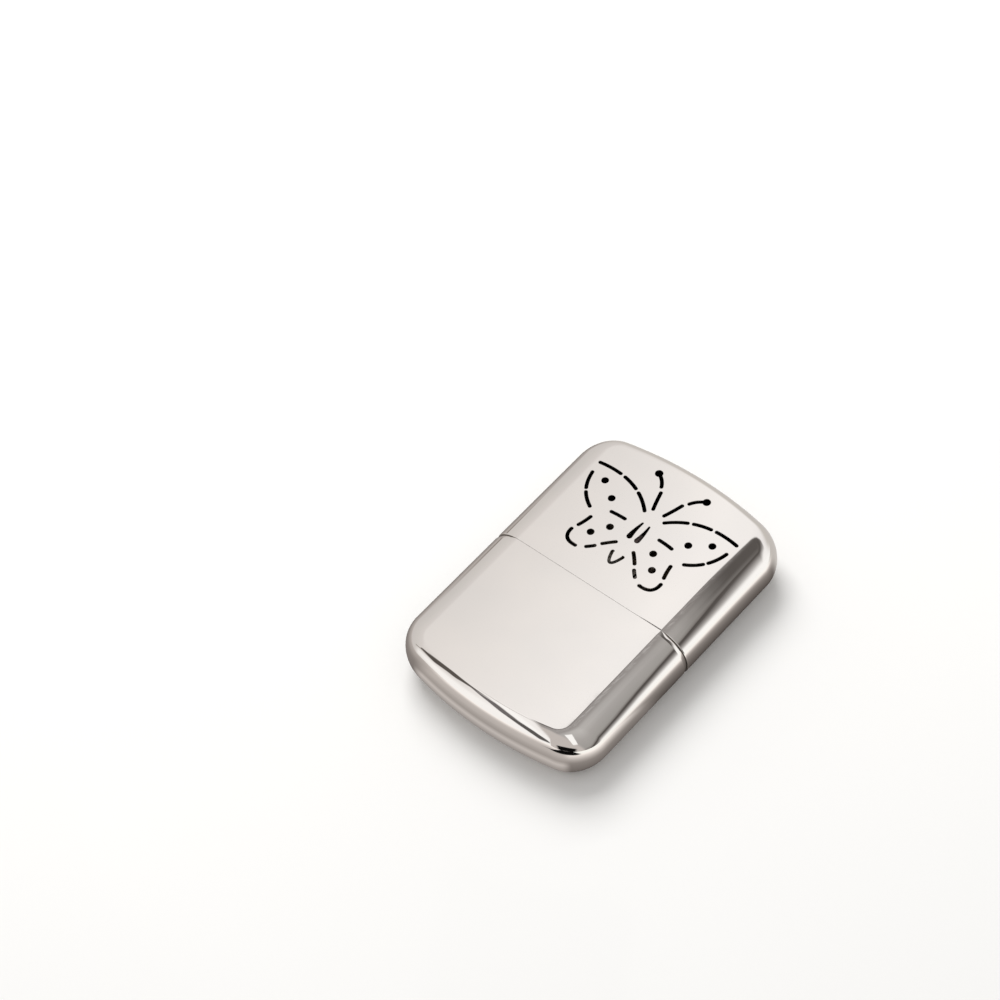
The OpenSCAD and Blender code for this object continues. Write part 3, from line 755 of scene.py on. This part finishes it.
def fibre_stock(name, dark, pale, fibre, depth, sheen):
    """Matted fibre: threads that wander every way, dull, with a soft sheen on top.

    The threads are noise drawn out along one way, laid over the same drawn out
    along two others, each bent by slower noise so that none runs straight. fibre is
    a thread's width and depth its relief, in millimetres.
    """
    material, tree, place = new_material(name)
    bend = add(tree, "TexNoise", Vector=place, Scale=0.6, Detail=2.0).outputs["Color"]
    place = add(tree, "VectorMath", TIMES_ADD, _0=bend, _1=(2, 2, 2), _2=place)
    upper = None
    for way in np.eye(3):
        thread = noise(tree, place, (fibre * (1 + 13 * way)).tolist(), detail=1.0)
        upper = thread if upper is None else add(tree, "Math", {"operation": "MAXIMUM"}, _0=upper, _1=thread)
    tufts = noise(tree, place, (20 * fibre,) * 3, detail=3.0)
    tone = add(tree, "Mix", COLOUR, _0=upper, _6=dark, _7=pale)
    singed = add(tree, "MapRange", Value=tufts, To_Min=0.0, To_Max=0.35)
    tilt = add(tree, "Bump", Height=tufts, Distance=4 * depth * MM)
    shader = add(tree, "BsdfPrincipled", Roughness=0.95, Sheen_Weight=sheen, Sheen_Roughness=0.5,
                 Base_Color=add(tree, "Mix", COLOUR, _0=singed, _6=tone, _7=dark),
                 Normal=add(tree, "Bump", Height=upper, Distance=depth * MM, Normal=tilt))
    add(tree, "OutputMaterial", Surface=shader)
    return material


CASE_FINISH = polished_nickel()
BURNER_FINISH = heated_stamped_steel()

# ---------------------------------------------------------------------- pieces

make_piece("tank", drawn_shell(TANK_LEN, TANK_ROLL, placed(-1, JOINT_Y), []),
           CASE_FINISH, "polished_case", "tank", "tank_shell")
make_piece("cap", drawn_shell(CAP_LEN, CAP_ROLL, placed(1, CAP_RIM_Y), vent_loops()),
           CASE_FINISH, "polished_case", "cap", "cap_shell")


def neck():
    """Drawn cup: its wall turns over a round shoulder into the top, down to the slot."""
    out, top, slot = NECK_REACH, NECK_TOP_Y, MOUTH_REACH + MOUTH_GAP
    section = [(out - WALL, NECK_FOOT_Y, 0.12), (out, NECK_FOOT_Y, 0.12), (out, top, SHOULDER_R),
               (slot, top, 0.15), (slot, top - WALL, 0.12), (out - WALL, top - WALL, SHOULDER_R - WALL)]
    return [slot_ring([NECK_RUN] * 3 + [MOUTH_RUN] * 2 + [NECK_RUN], section)]


def mouth():
    """Oval tube: a flange turned out at its foot and a round bead rolled at its lip."""
    out, top, foot = MOUTH_REACH, MOUTH_TOP_Y, NECK_TOP_Y - WALL - MOUTH_GAP - FLANGE_T
    section = [(out - WALL, foot, 0.2), (out + FLANGE_W, foot, 0.12), (out + FLANGE_W, foot + FLANGE_T, 0.2),
               (out, foot + FLANGE_T, 0.2), (out, top - BEAD_H, 0.08), (out + BEAD_W, top - BEAD_H, 0.4),
               (out + BEAD_W, top, 0.5), (out - WALL, top, 0.45)]
    return [slot_ring([MOUTH_RUN] * len(section), section)]


def skirt():
    """Slit sleeve and, turned out from its top, the burner's floor with its vapour slot."""
    half = MOUTH_RUN + np.pi * SKIRT_REACH
    outline = [(SEAM_X - half, SKIRT_FOOT_Y, 0.01)]
    for middle in np.sort([SLIT_X, -SLIT_X, half - SLIT_X, SLIT_X - half]):
        for side in (-1, 1):
            foot = (middle + side * SLIT_W / 2, SKIRT_FOOT_Y, 0.15)
            outline += [foot, (foot[0], SKIRT_FOOT_Y + SLIT_H, 0.25)][::-side]
    outline += [(SEAM_X + half, SKIRT_FOOT_Y, 0.01), (SEAM_X + half, FLOOR_Y, 0.01),
                (SEAM_X - half, FLOOR_Y, 0.01)]

    def grip(y):
        """A shallow groove all round where the skirt springs over the mouth's bead."""
        return GRIP_DEPTH * np.clip(1 - np.abs(y - GRIP_Y) / GRIP_HALF_H, 0, 1) ** 2

    rows = np.concatenate([[9.8, 10.7, 11.5], np.linspace(12.1, 13.4, 7), [14.0]])
    band = pierced_band(MOUTH_RUN, SKIRT_REACH, SHEET, rounded(outline)[0], [], grip, rows)
    floor = [(VAPOUR_REACH, FLOOR_Y, 0.1), (FLOOR_REACH, FLOOR_Y, 0.12), (FLOOR_REACH, FLOOR_Y + SHEET, 0.12),
             (VAPOUR_REACH, FLOOR_Y + SHEET, 0.15)]
    return band + [slot_ring([VAPOUR_RUN, CAGE_RUN, CAGE_RUN, VAPOUR_RUN], floor)]


def cage():
    """Band with air holes, a ledge pressed in all round and four tabs folded over."""
    half = CAGE_RUN + np.pi * CAGE_REACH
    start, end = SEAM_X - half, SEAM_X + half
    turn = AIR_PITCH / (CAGE_REACH + SHEET / 2)
    side = AIR_PITCH * np.arange(-3, 4)
    end_holes = CAGE_RUN / 2 + CAGE_REACH * (np.pi / 2 + turn * np.arange(-1, 2))
    middles = np.concatenate([side, end_holes, -end_holes, half + side])
    t = np.linspace(0, 2 * np.pi, 24, endpoint=False)
    ring = AIR_HOLE_D / 2 * np.column_stack([np.cos(t), np.sin(t)])
    holes = [ring + [start + (middle - start) % (2 * half), AIR_HOLE_Y] for middle in middles]
    outline = [(start, FLOOR_Y, 0.01), (end, FLOOR_Y, 0.01), (end, CAGE_TOP_Y, 0.01)]
    tabs = [start + (x - start) % (2 * half) for x in (TAB_X, -TAB_X, half + TAB_X, half - TAB_X)]
    for middle in np.sort(tabs)[::-1]:
        for hand in (1, -1):
            top = (middle + hand * NOTCH_HALF_W, CAGE_TOP_Y, 0.15)
            outline += [top, (top[0], CAGE_TOP_Y - NOTCH_H, 0.2)][::hand]
    outline += [(start, CAGE_TOP_Y, 0.01)]

    def ledge(y):
        """Pressed in by the ledge's depth: a groove with a round bottom."""
        return LEDGE_DEPTH * np.sqrt(np.clip(1 - (np.abs(y - LEDGE_Y) / LEDGE_HALF_H) ** 3, 0, 1))

    groove = LEDGE_Y + np.array([-1, -0.97, -0.85, -0.6, 0, 0.6, 0.85, 0.97, 1]) * LEDGE_HALF_H
    rows = np.concatenate([[15.2, 17.75], groove, np.linspace(19.4, 22.6, 6)])
    return pierced_band(CAGE_RUN, CAGE_REACH, SHEET, rounded(outline)[0], holes, ledge, rows) + tab_strips()


def tab_strips():
    """The cage's tabs: a strip that stands in the wall and turns in over the grille.

    Its edge is an outline with round corners in y and z, set out along x.
    """
    outer, inner, top = CAGE_REACH + SHEET / 2, CAGE_REACH - SHEET / 2, CAGE_TOP_Y
    corners = [(inner, top - TAB_H, 0.02), (outer, top - TAB_H, 0.02), (outer, top, 0.6),
               (TAB_REACH, top, 0.15), (TAB_REACH, top - SHEET, 0.15), (inner, top - SHEET, 0.2)]
    points, ways = rounded(corners)
    loop = np.append(np.arange(len(points)), 0)
    flat, faces = sheet_faces([points])
    parts = []
    for x in (-TAB_X, TAB_X):
        for side in (-1, 1):
            turn = np.array([[0, 0, side], [0, 1, 0]])
            low, high = ([x + hand * TAB_W / 2, 0, MID_Z] for hand in (-1, 1))
            edge = np.stack([points[loop] @ turn + low, points[loop] @ turn + high])
            parts.append(patch(edge, np.stack([ways[loop] @ turn] * 2)))
            parts.append(patch(flat @ turn + low, [-1, 0, 0], faces))
            parts.append(patch(flat @ turn + high, [1, 0, 0], faces))
    return parts


def gauze():
    """Woven wires across and along the slot, inside a folded rim."""
    across = np.arange(-5, 6) * GAUZE_PITCH
    end_reach = np.sqrt(GAUZE_REACH**2 - across**2)
    along = np.arange(-15, 16) * GAUZE_PITCH
    past = np.clip(np.abs(along) - CAGE_RUN / 2, 0, GAUZE_REACH - 0.01)
    wires = woven_wires(across, CAGE_RUN / 2 + end_reach, lambda p: p[..., [0, 2, 1]])
    wires += woven_wires(along, np.sqrt(GAUZE_REACH**2 - past**2), lambda p: p[..., [1, 2, 0]] * [1, -1, 1])
    wires = [(p + [0, GAUZE_Y + 2 * WIRE_R, MID_Z], n, f, i) for p, n, f, i in wires]
    low, high = GAUZE_Y, GAUZE_Y + GAUZE_RIM_H
    inner, out = FLOOR_REACH - GAUZE_RIM_W, FLOOR_REACH
    rim = [(inner, low, 0.15), (out, low, 0.15), (out, high, 0.15), (inner, high, 0.15)]
    return wires + [slot_ring([CAGE_RUN] * 4, rim)]


def grille():
    """Stamped plate: windows with rounded corners, and bars between them."""
    out, edge, bar = FLOOR_REACH, FLOOR_REACH - GRILLE_RIM, GRILLE_BAR / 2
    window, half = CAGE_RUN / 2 + edge, CAGE_RUN / 2 + out
    corners = ((-half, -out), (half, -out), (half, out), (-half, out))
    outline = rounded([(x, z, out - 0.01) for x, z in corners], 17)
    bars = window * (2 * np.arange(1, WINDOWS) / WINDOWS - 1)
    left, right = np.append(-window, bars + bar), np.append(bars - bar, window)
    ends = [edge - 0.01] + [0.5] * (WINDOWS - 1)
    holes = [rounded([(x0, -edge, r0), (x1, -edge, r1), (x1, edge, r1), (x0, edge, r0)], 9)
             for x0, x1, r0, r1 in zip(left, right, ends, ends[::-1])]
    return plate(outline, holes, GRILLE_Y, GRILLE_Y + GRILLE_T, GRILLE_ROLL)


make_piece("neck", neck(), drawn_neck_plate(), "polished_neck", "tank", "neck_insert")
make_piece("mouth", mouth(), satin_mouth_plate(), "plated_mouth", "tank", "filler_mouth")
make_piece("skirt", skirt(), BURNER_FINISH, "burner_sheet", "burner", "burner_skirt")
make_piece("cage", cage(), BURNER_FINISH, "burner_sheet", "burner", "burner_cage")
make_piece("gauze", gauze(), sooty_wire(), "gauze_wire", "burner", "support_gauze")
make_piece("grille", grille(), BURNER_FINISH, "burner_sheet", "burner", "guard_grille")

# glass fibre: fine grey threads, singed darker in tufts
form = pad_rows(CAGE_RUN, MAT_REACH, MAT_LOW_Y, MAT_TOP_Y)
mat = make_piece("catalyst", [padding(form, [(4, 0.06, 1), (1.3, 0.05, 2)])],
                 fibre_stock("matted_glass_fibre", "#3f3d3b", "#a39e96", 0.09, 0.02, 0.1),
                 "catalyst_fibre", "burner", "catalyst_mat")
# pressed wool felt: cream, short wandering hairs, nearly flat
form = pad_rows(NECK_RUN, WICK_REACH, WICK_LOW_Y, WICK_TOP_Y, 0.2)
wick = make_piece("wick", [padding(form, [(6, 0.05, 3), (1.6, 0.03, 4)])],
                  fibre_stock("pressed_wool_felt", "#c9c1b0", "#ece7da", 0.12, 0.015, 0.25),
                  "felt", "tank", "felt_wick")
# packed cotton: white, long soft hairs and puffs
form = tank_rows(COTTON_INSET, COTTON_TOP_Y)
cotton = make_piece("cotton", [padding(form, [(11, 0.12, 5), (3.5, 0.08, 6)])],
                    fibre_stock("packed_cotton", "#dcd8ce", "#f6f4ee", 0.2, 0.03, 0.35),
                    "cotton", "tank", "cotton_fill")

# --------------------------------------------------------- floor, light, camera

TENT_R, TENT_UP = 160.0, 9.0
FLOOR_HALF, FLOOR_DROP, SHADE_LIFT = 3000.0, 0.02, 0.005
SHADE_IN, SHADE_REACH = 5.0, 150.0
GLOW = 1.1

scene = bpy.context.scene
scene.view_settings.view_transform = "Standard"


def stage_mesh(name, points, faces, finish, polish_only=False):
    """A floor or a card: part of the studio, not of the object.

    polish_only hides it from all but reflections.
    """
    mesh = bpy.data.meshes.new(name)
    mesh.from_pydata((np.asarray(points) * MM).tolist(), [], faces.tolist())
    mesh.materials.append(finish)
    piece = bpy.data.objects.new(name, mesh)
    scene.collection.objects.link(piece)
    if polish_only:
        piece.visible_camera = piece.visible_shadow = False
        piece.visible_diffuse = piece.visible_transmission = False
    return piece


def plain_paper():
    """White paper sweep: dull, a little warm, and it keeps the object's shadow."""
    material, tree, place = new_material("white_paper_sweep")
    fibres = noise(tree, place, (0.5, 0.5, 0.5), detail=3.0)
    shader = add(tree, "BsdfPrincipled", Base_Color="#f3f2f0", Roughness=0.8, Specular_IOR_Level=0.2,
                 Normal=add(tree, "Bump", Height=fibres, Distance=0.004 * MM))
    add(tree, "OutputMaterial", Surface=shader)
    return material


def painted_reflection_tent():
    """What the mirror finish sees: a glowing dome, hidden from all but reflections, whose cream walls and
    greys are painted reflections.

    A place in the tent is its direction as seen on a disc, (u, v) = (x, y) / (1 + z),
    with the top of the tent in the middle. A card is the part of that disc on one
    side of a few soft edges, or a bar between two places, and has its own grey.
    """
    material, tree, place = new_material("painted_reflection_tent")
    unit = add(tree, "VectorMath", {"operation": "NORMALIZE"}, _0=place)
    split = add(tree, "SeparateXYZ", _0=unit).outputs
    # a little more than 1 + z, so that it is never nought
    low = add(tree, "Math", {"operation": "ADD"}, _0=split["Z"], _1=1.02)
    u, v = (add(tree, "Math", {"operation": "DIVIDE"}, _0=split[k], _1=low) for k in "XY")
    flat = add(tree, "CombineXYZ", _0=u, _1=v)
    # the cards' edges waver by 0.006 each way, so that none looks ruled
    wave = add(tree, "TexNoise", {"noise_dimensions": "2D"}, Vector=flat, Scale=9.0, Detail=4.0)
    disc = add(tree, "VectorMath", TIMES_ADD, _0=wave.outputs["Color"], _1=(0.012, 0.012, 0), _2=flat)
    disc = add(tree, "VectorMath", {"operation": "SUBTRACT"}, _0=disc, _1=(0.006, 0.006, 0))
    split = add(tree, "SeparateXYZ", _0=disc).outputs
    u, v = split["X"], split["Y"]

    def edge(x, y, at, blur):
        """1 where x * u + y * v is past at, 0 before it, and soft over blur."""
        way = add(tree, "VectorMath", {"operation": "DOT_PRODUCT"}, _0=disc, _1=(x, y, 0))
        return add(tree, "MapRange", SMOOTH, Value=way, From_Min=at - blur / 2, From_Max=at + blur / 2)

    def bar(start, stop, width, blur):
        """The edges of a straight bar between two places: soft sides, softer ends."""
        a, b = np.array(start), np.array(stop)
        way = (b - a) / np.linalg.norm(b - a)
        side = np.array([-way[1], way[0]])
        half = width / 2
        return (edge(*side, side @ a - half, blur), edge(*-side, -side @ a - half, blur),
                edge(*way, way @ a, 3 * blur), edge(*-way, -way @ b, 3 * blur))

    def card(under, colour, *masks):
        """The colour laid over what is there, as far as the product of its masks."""
        mask = masks[0]
        for more in masks[1:]:
            mask = add(tree, "Math", TIMES, _0=mask, _1=more)
        return add(tree, "Mix", COLOUR, _0=mask, _6=under, _7=colour)

    # painted reflection of cream walls from left to right, with a painted highlight just beside the dark
    # band's edge
    walls = ((-1.3, "#c5c1c0"), (-0.9, "#cac6c5"), (-0.6, "#cfccca"), (-0.4, "#d6d2d1"), (-0.3, "#e3e0df"),
             (-0.14, "#f8f6f6"), (0.3, "#efedee"), (0.7, "#ffffff"))
    left, right = walls[0][0], walls[-1][0]
    share = add(tree, "MapRange", Value=u, From_Min=left, From_Max=right)
    stops = [((at - left) / (right - left), grey) for at, grey in walls]
    tent = add(tree, "ValToRGB", None, stops, _0=share)
    tent = card(tent, "#c8c4c0", edge(0, 1, 0.72, 0.3), edge(-1, 0, -0.5, 0.3))
    tent = card(tent, "#fbfafa", edge(0, -1, 0.62, 0.25), edge(1, 0, -0.6, 0.3))
    # a painted reflection of a darker thing off to the left
    tent = card(tent, "#7d756f", *bar((-1.1, 0.85), (-0.97, 0.2), 0.2, 0.09), edge(-1, 0, 0.82, 0.1))

    # the painted dark band overhead and to the right, a painted reflection: its rim is a distance from its
    # own middle, (0.25, 0), for each angle round it, and its greys follow the share of that
    rim = ((-180, 0.9), (-140, 1.1), (-82, 1.07), (-60, 1.0), (-28, 0.85), (-9, 0.68), (3, 0.6), (11, 0.55),
           (19, 0.47), (28, 0.42), (42, 0.38), (53, 0.35), (63, 0.34), (76, 0.39), (90, 0.42), (106, 0.41),
           (122, 0.42), (140, 0.52), (180, 0.9))
    longest = 1.2
    off = add(tree, "Math", {"operation": "SUBTRACT"}, _0=u, _1=0.25)
    angle = add(tree, "Math", {"operation": "ARCTAN2"}, _0=v, _1=off)
    turn = add(tree, "MapRange", Value=angle, From_Min=-np.pi, From_Max=np.pi)
    curve = add(tree, "FloatCurve", Value=turn)
    spots = [((degrees + 180) / 360, reach / longest) for degrees, reach in rim]
    points = curve.mapping.curves[0].points
    points[0].location = spots[0]
    for spot in spots[1:-1]:
        points.new(*spot)
    points[-1].location = spots[-1]
    curve.mapping.update()
    reach = add(tree, "VectorMath", {"operation": "LENGTH"}, _0=add(tree, "CombineXYZ", _0=off, _1=v))
    reach = add(tree, "Math", {"operation": "DIVIDE"}, _0=reach, _1=curve)
    share = add(tree, "Math", {"operation": "DIVIDE"}, _0=reach, _1=longest)
    # past the rim the painted greys fade out more slowly where the dark band stands further up
    slow = add(tree, "MapRange", SMOOTH, Value=angle, From_Min=0.05, From_Max=0.7, To_Min=1.0, To_Max=0.55)
    past = add(tree, "Math", {"operation": "SUBTRACT"}, _0=share, _1=1.0)
    past = add(tree, "Math", {"operation": "MAXIMUM"}, _0=past, _1=0.0)
    share = add(tree, "Math", {"operation": "MINIMUM"}, _0=share, _1=1.0)
    share = add(tree, "Math", TIMES_ADD, _0=past, _1=slow, _2=share)
    greys = ((0.0, "#c0bebd"), (0.4, "#aba8a7"), (0.8, "#a09e9c"), (0.9, "#888482"), (0.97, "#504c4a"),
             (1.04, "#5a5654"), (1.15, "#9a9796"), (1.35, "#e8e7e7"), (1.45, "#ffffff"))
    end = greys[-1][0]
    painted_dark_band = add(tree, "ValToRGB", None, [(at / end, grey) for at, grey in greys],
               _0=add(tree, "MapRange", Value=share, From_Max=end))
    # its middle: a woven grey with painted glints in streaks near the left edge
    threads = add(tree, "Mapping", _0=disc, Scale=(14, 210, 1), Rotation=(0, 0, 0.45))
    threads = add(tree, "TexNoise", {"noise_dimensions": "2D"}, Vector=threads, Scale=1.0, Detail=2.0)
    threads = add(tree, "MapRange", Value=threads, From_Min=0.48, From_Max=0.62)
    core = card("#979392", "#b4b1b0", threads, edge(1, 0, -0.085, 0.05), edge(-1, 0, -0.02, 0.1))
    painted_dark_band = card(painted_dark_band, core, edge(-1, 0, -0.08, 0.16))
    painted_dark_band = card(painted_dark_band, "#696564", edge(-1, 0, 0.115, 0.02), edge(0, 1, -0.2, 0.1))
    painted_dark_band = card(painted_dark_band, "#c4bebb", edge(-0.25, -1, 0.28, 0.12))
    painted_dark_band = card(painted_dark_band, "#595553", *bar((0.38, 0.325), (-0.06, 0.335), 0.17, 0.1))
    fade = add(tree, "MapRange", SMOOTH, Value=share, From_Min=end, From_Max=1.2)
    tent = card(tent, painted_dark_band, fade, edge(1, -0.12, -0.145, 0.004), edge(1, 0.25, -0.15, 0.02),
                edge(0.54, -0.84, -0.302, 0.03), edge(0.3, -1, -0.44, 0.05))

    # painted reflections of bars towards the near end: two white ones, then dark and grey ones, then a black
    # one
    for start, stop, width, blur, colour in (
            ((0.19, -0.19), (0.56, -0.47), 0.11, 0.02, "#ffffff"),
            ((-0.17, -0.2), (0.01, -0.85), 0.05, 0.025, "#ffffff"),
            ((-0.225, -0.26), (-0.34, -0.47), 0.1, 0.018, "#58534f"),
            ((-0.33, -0.44), (-0.43, -0.55), 0.085, 0.018, "#534e4a"),
            ((-0.42, -0.54), (-0.66, -0.51), 0.035, 0.018, "#98928e"),
            ((-0.205, -0.34), (-0.11, -0.65), 0.07, 0.018, "#6f6b6c"),
            ((-0.115, -0.63), (0.04, -0.96), 0.075, 0.018, "#595655"),
            ((-0.21, -0.13), (-0.02, -0.15), 0.025, 0.018, "#a5a09d"),
            ((0.29, -0.92), (0.72, -0.68), 0.18, 0.03, "#0d0c0c")):
        tent = card(tent, colour, *bar(start, stop, width, blur))
    add(tree, "OutputMaterial", Surface=add(tree, "Emission", Color=tent, Strength=GLOW))
    return material


def painted_floor_reflection():
    """A glowing ring on the floor round the object, that only the polish sees: a painted reflection of the
    floor, with painted shade near the case.

    away is the distance from the case's outline in millimetres, and facing the way
    out of it there. Painted shade, dark at the object's foot and pale further out,
    darkest on the far half of the right side.
    """
    material, tree, place = new_material("painted_floor_reflection")
    away = add(tree, "Attribute", {"attribute_name": "away"}).outputs["Fac"]
    facing = add(tree, "Attribute", {"attribute_name": "facing"}).outputs["Vector"]
    facing = add(tree, "SeparateXYZ", _0=facing).outputs
    y = add(tree, "SeparateXYZ", _0=place).outputs["Y"]
    share = add(tree, "MapRange", Value=away, From_Min=-SHADE_IN, From_Max=SHADE_REACH)
    floor_shades = []
    for greys in (
            ((-5, "#1a1411"), (0, "#56504d"), (17, "#8d8784"), (28, "#b5afac"), (45, "#f6f0ed"),
             (65, "#fffffc")),
            ((-5, "#423c39"), (0, "#746e6b"), (8, "#8d8784"), (20, "#cec8c5"), (36, "#fbf5f2"),
             (50, "#fffffc")),
            ((-5, "#746e6b"), (0, "#9c9693"), (4.5, "#c4bebb"), (9, "#a19b98"), (20, "#bab4b1"),
             (40, "#c4bebb"), (85, "#fbf5f2")),
            ((-5, "#746e6b"), (15, "#88827f"), (35, "#a6a09d"), (150, "#cec8c5"))):
        stops = [((at + SHADE_IN) / (SHADE_REACH + SHADE_IN), grey) for at, grey in greys]
        floor_shades.append(add(tree, "ValToRGB", None, stops, _0=share))
    right_far, right_near, near, left = floor_shades
    half = add(tree, "MapRange", SMOOTH, Value=y, From_Min=-8, From_Max=-16)
    floor_shade, right = left, add(tree, "Mix", COLOUR, _0=half, _6=right_far, _7=right_near)
    # to the right, then over it the near end's and the far end's
    for value, start, stop, over in ((facing["X"], -0.3, 0.3, right), (facing["Y"], -0.8, -0.95, near),
                                     (facing["Y"], 0.5, 0.85, "#c6c2bf")):
        share = add(tree, "MapRange", SMOOTH, Value=value, From_Min=start, From_Max=stop)
        floor_shade = add(tree, "Mix", COLOUR, _0=share, _6=floor_shade, _7=over)
    # painted black shade off the right-hand near corner: within two lines that
    # run out from there, past a distance from the outline, and past the near end
    beside = add(tree, "VectorMath", {"operation": "DOT_PRODUCT"}, _0=place, _1=(0.83, 0.56, 0))
    black = 1.0
    for value, start, stop in ((beside, -36, -30), (beside, 24, 18), (away, 31, 37), (y, -60, -70)):
        share = add(tree, "MapRange", SMOOTH, Value=value, From_Min=start, From_Max=stop)
        black = add(tree, "Math", TIMES, _0=black, _1=share)
    floor_shade = add(tree, "Mix", COLOUR, _0=black, _6=floor_shade, _7="#0d0c0c")
    add(tree, "OutputMaterial", Surface=add(tree, "Emission", Color=floor_shade, Strength=GLOW))
    return material


def shade_ring(steps=24):
    """The case's outline carried outwards on the floor, from a little inside it.

    The steps grow with the square of their number. Returns the points, faces, how
    far away each point is and the way it faces.
    """
    half = end_path(HALF_W, CASE_L / 2, CORNER_R, END_R, 0.0)
    loop = np.vstack([half, half[::-1] * [1, -1]])
    way = np.roll(loop, -1, 0) - np.roll(loop, 1, 0)
    way = way[:, ::-1] * [1, -1] / np.linalg.norm(way, axis=1, keepdims=True)
    out = -SHADE_IN + (SHADE_REACH + SHADE_IN) * (np.linspace(0, 1, steps) ** 2)[:, None, None]
    rows = np.concatenate([loop + out * way, np.full((steps, len(loop), 1), SHADE_LIFT)], 2)
    away = np.broadcast_to(out, rows[..., :1].shape).reshape(-1)
    facing = np.broadcast_to(np.column_stack([way, 0 * way[:, 0]]), rows.shape).reshape(-1)
    return rows.reshape(-1, 3), grid_faces(steps, len(loop), True), away, facing


corners = np.array([(-1, -1), (1, -1), (1, 1), (-1, 1)]) * FLOOR_HALF
stage_mesh("floor", np.column_stack([corners, np.full(4, -FLOOR_DROP)]), np.arange(4)[None], plain_paper())

# a glowing ring of painted floor shade, seen only in reflections
points, faces, away, facing = shade_ring()
ring = stage_mesh("painted_shade_ring", points, faces, painted_floor_reflection(), polish_only=True)
ring.data.attributes.new("away", "FLOAT", "POINT").data.foreach_set("value", away)
ring.data.attributes.new("facing", "FLOAT_VECTOR", "POINT").data.foreach_set("vector", facing)

# the tent: a glowing dome of painted reflections from the floor nearly to its top, with a hole too small to
# see
turn = np.linspace(0, 2 * np.pi, 96, endpoint=False)
rise = np.linspace(np.arcsin(-TENT_UP / TENT_R), np.pi / 2 - 0.001, 33)[:, None]
dome = [np.cos(rise) * np.cos(turn), np.cos(rise) * np.sin(turn), np.sin(rise) + 0 * turn]
dome = TENT_R * np.stack(dome, 2)
faces = grid_faces(*dome.shape[:2], closed=True)
tent = stage_mesh("tent", dome.reshape(-1, 3), faces, painted_reflection_tent(), polish_only=True)
tent.location.z = TENT_UP * MM

# the view, as it was fitted to the case's outline: the columns are the camera's
# right, up and back, and its place in metres
camera = bpy.data.objects.new("camera", bpy.data.cameras.new("camera"))
scene.collection.objects.link(camera)
camera.data.lens = 110.164
camera.data.sensor_width = 36
camera.data.clip_end = 10
camera.matrix_world = Matrix((
    (0.7505624, -0.4756304, 0.4587285, 0.361875),
    (0.6526896, 0.6420370, -0.4022249, -0.344845),
    (-0.1032103, 0.6013022, 0.7923278, 0.710914),
    (0, 0, 0, 1),
))
scene.camera = camera

lamp = bpy.data.lights.new("softbox", "AREA")
lamp.shape, lamp.size, lamp.size_y, lamp.energy = "RECTANGLE", 0.7, 0.7, 9.0
softbox = bpy.data.objects.new("softbox", lamp)
scene.collection.objects.link(softbox)
softbox.location = (-0.55, 0.35, 0.9)
softbox.rotation_euler = Vector(softbox.location).to_track_quat("Z", "Y").to_euler()
softbox.visible_glossy = False

# white behind the object, and a softer light from all round
world = bpy.data.worlds.new("studio")
scene.world = world
world.use_nodes = True
tree = world.node_tree
tree.nodes.clear()
ray = add(tree, "LightPath").outputs
shown = add(tree, "Math", {"operation": "MAXIMUM"}, _0=ray["Is Camera Ray"], _1=ray["Is Glossy Ray"])
shown = add(tree, "Math", {"operation": "MAXIMUM"}, _0=shown, _1=ray["Is Transmission Ray"])
level = add(tree, "MapRange", Value=shown, To_Min=0.62, To_Max=1.0)
sky = add(tree, "Background", Color="#ffffff", Strength=level)
add(tree, "OutputWorld", Surface=sky)

bpy.context.view_layer.update()
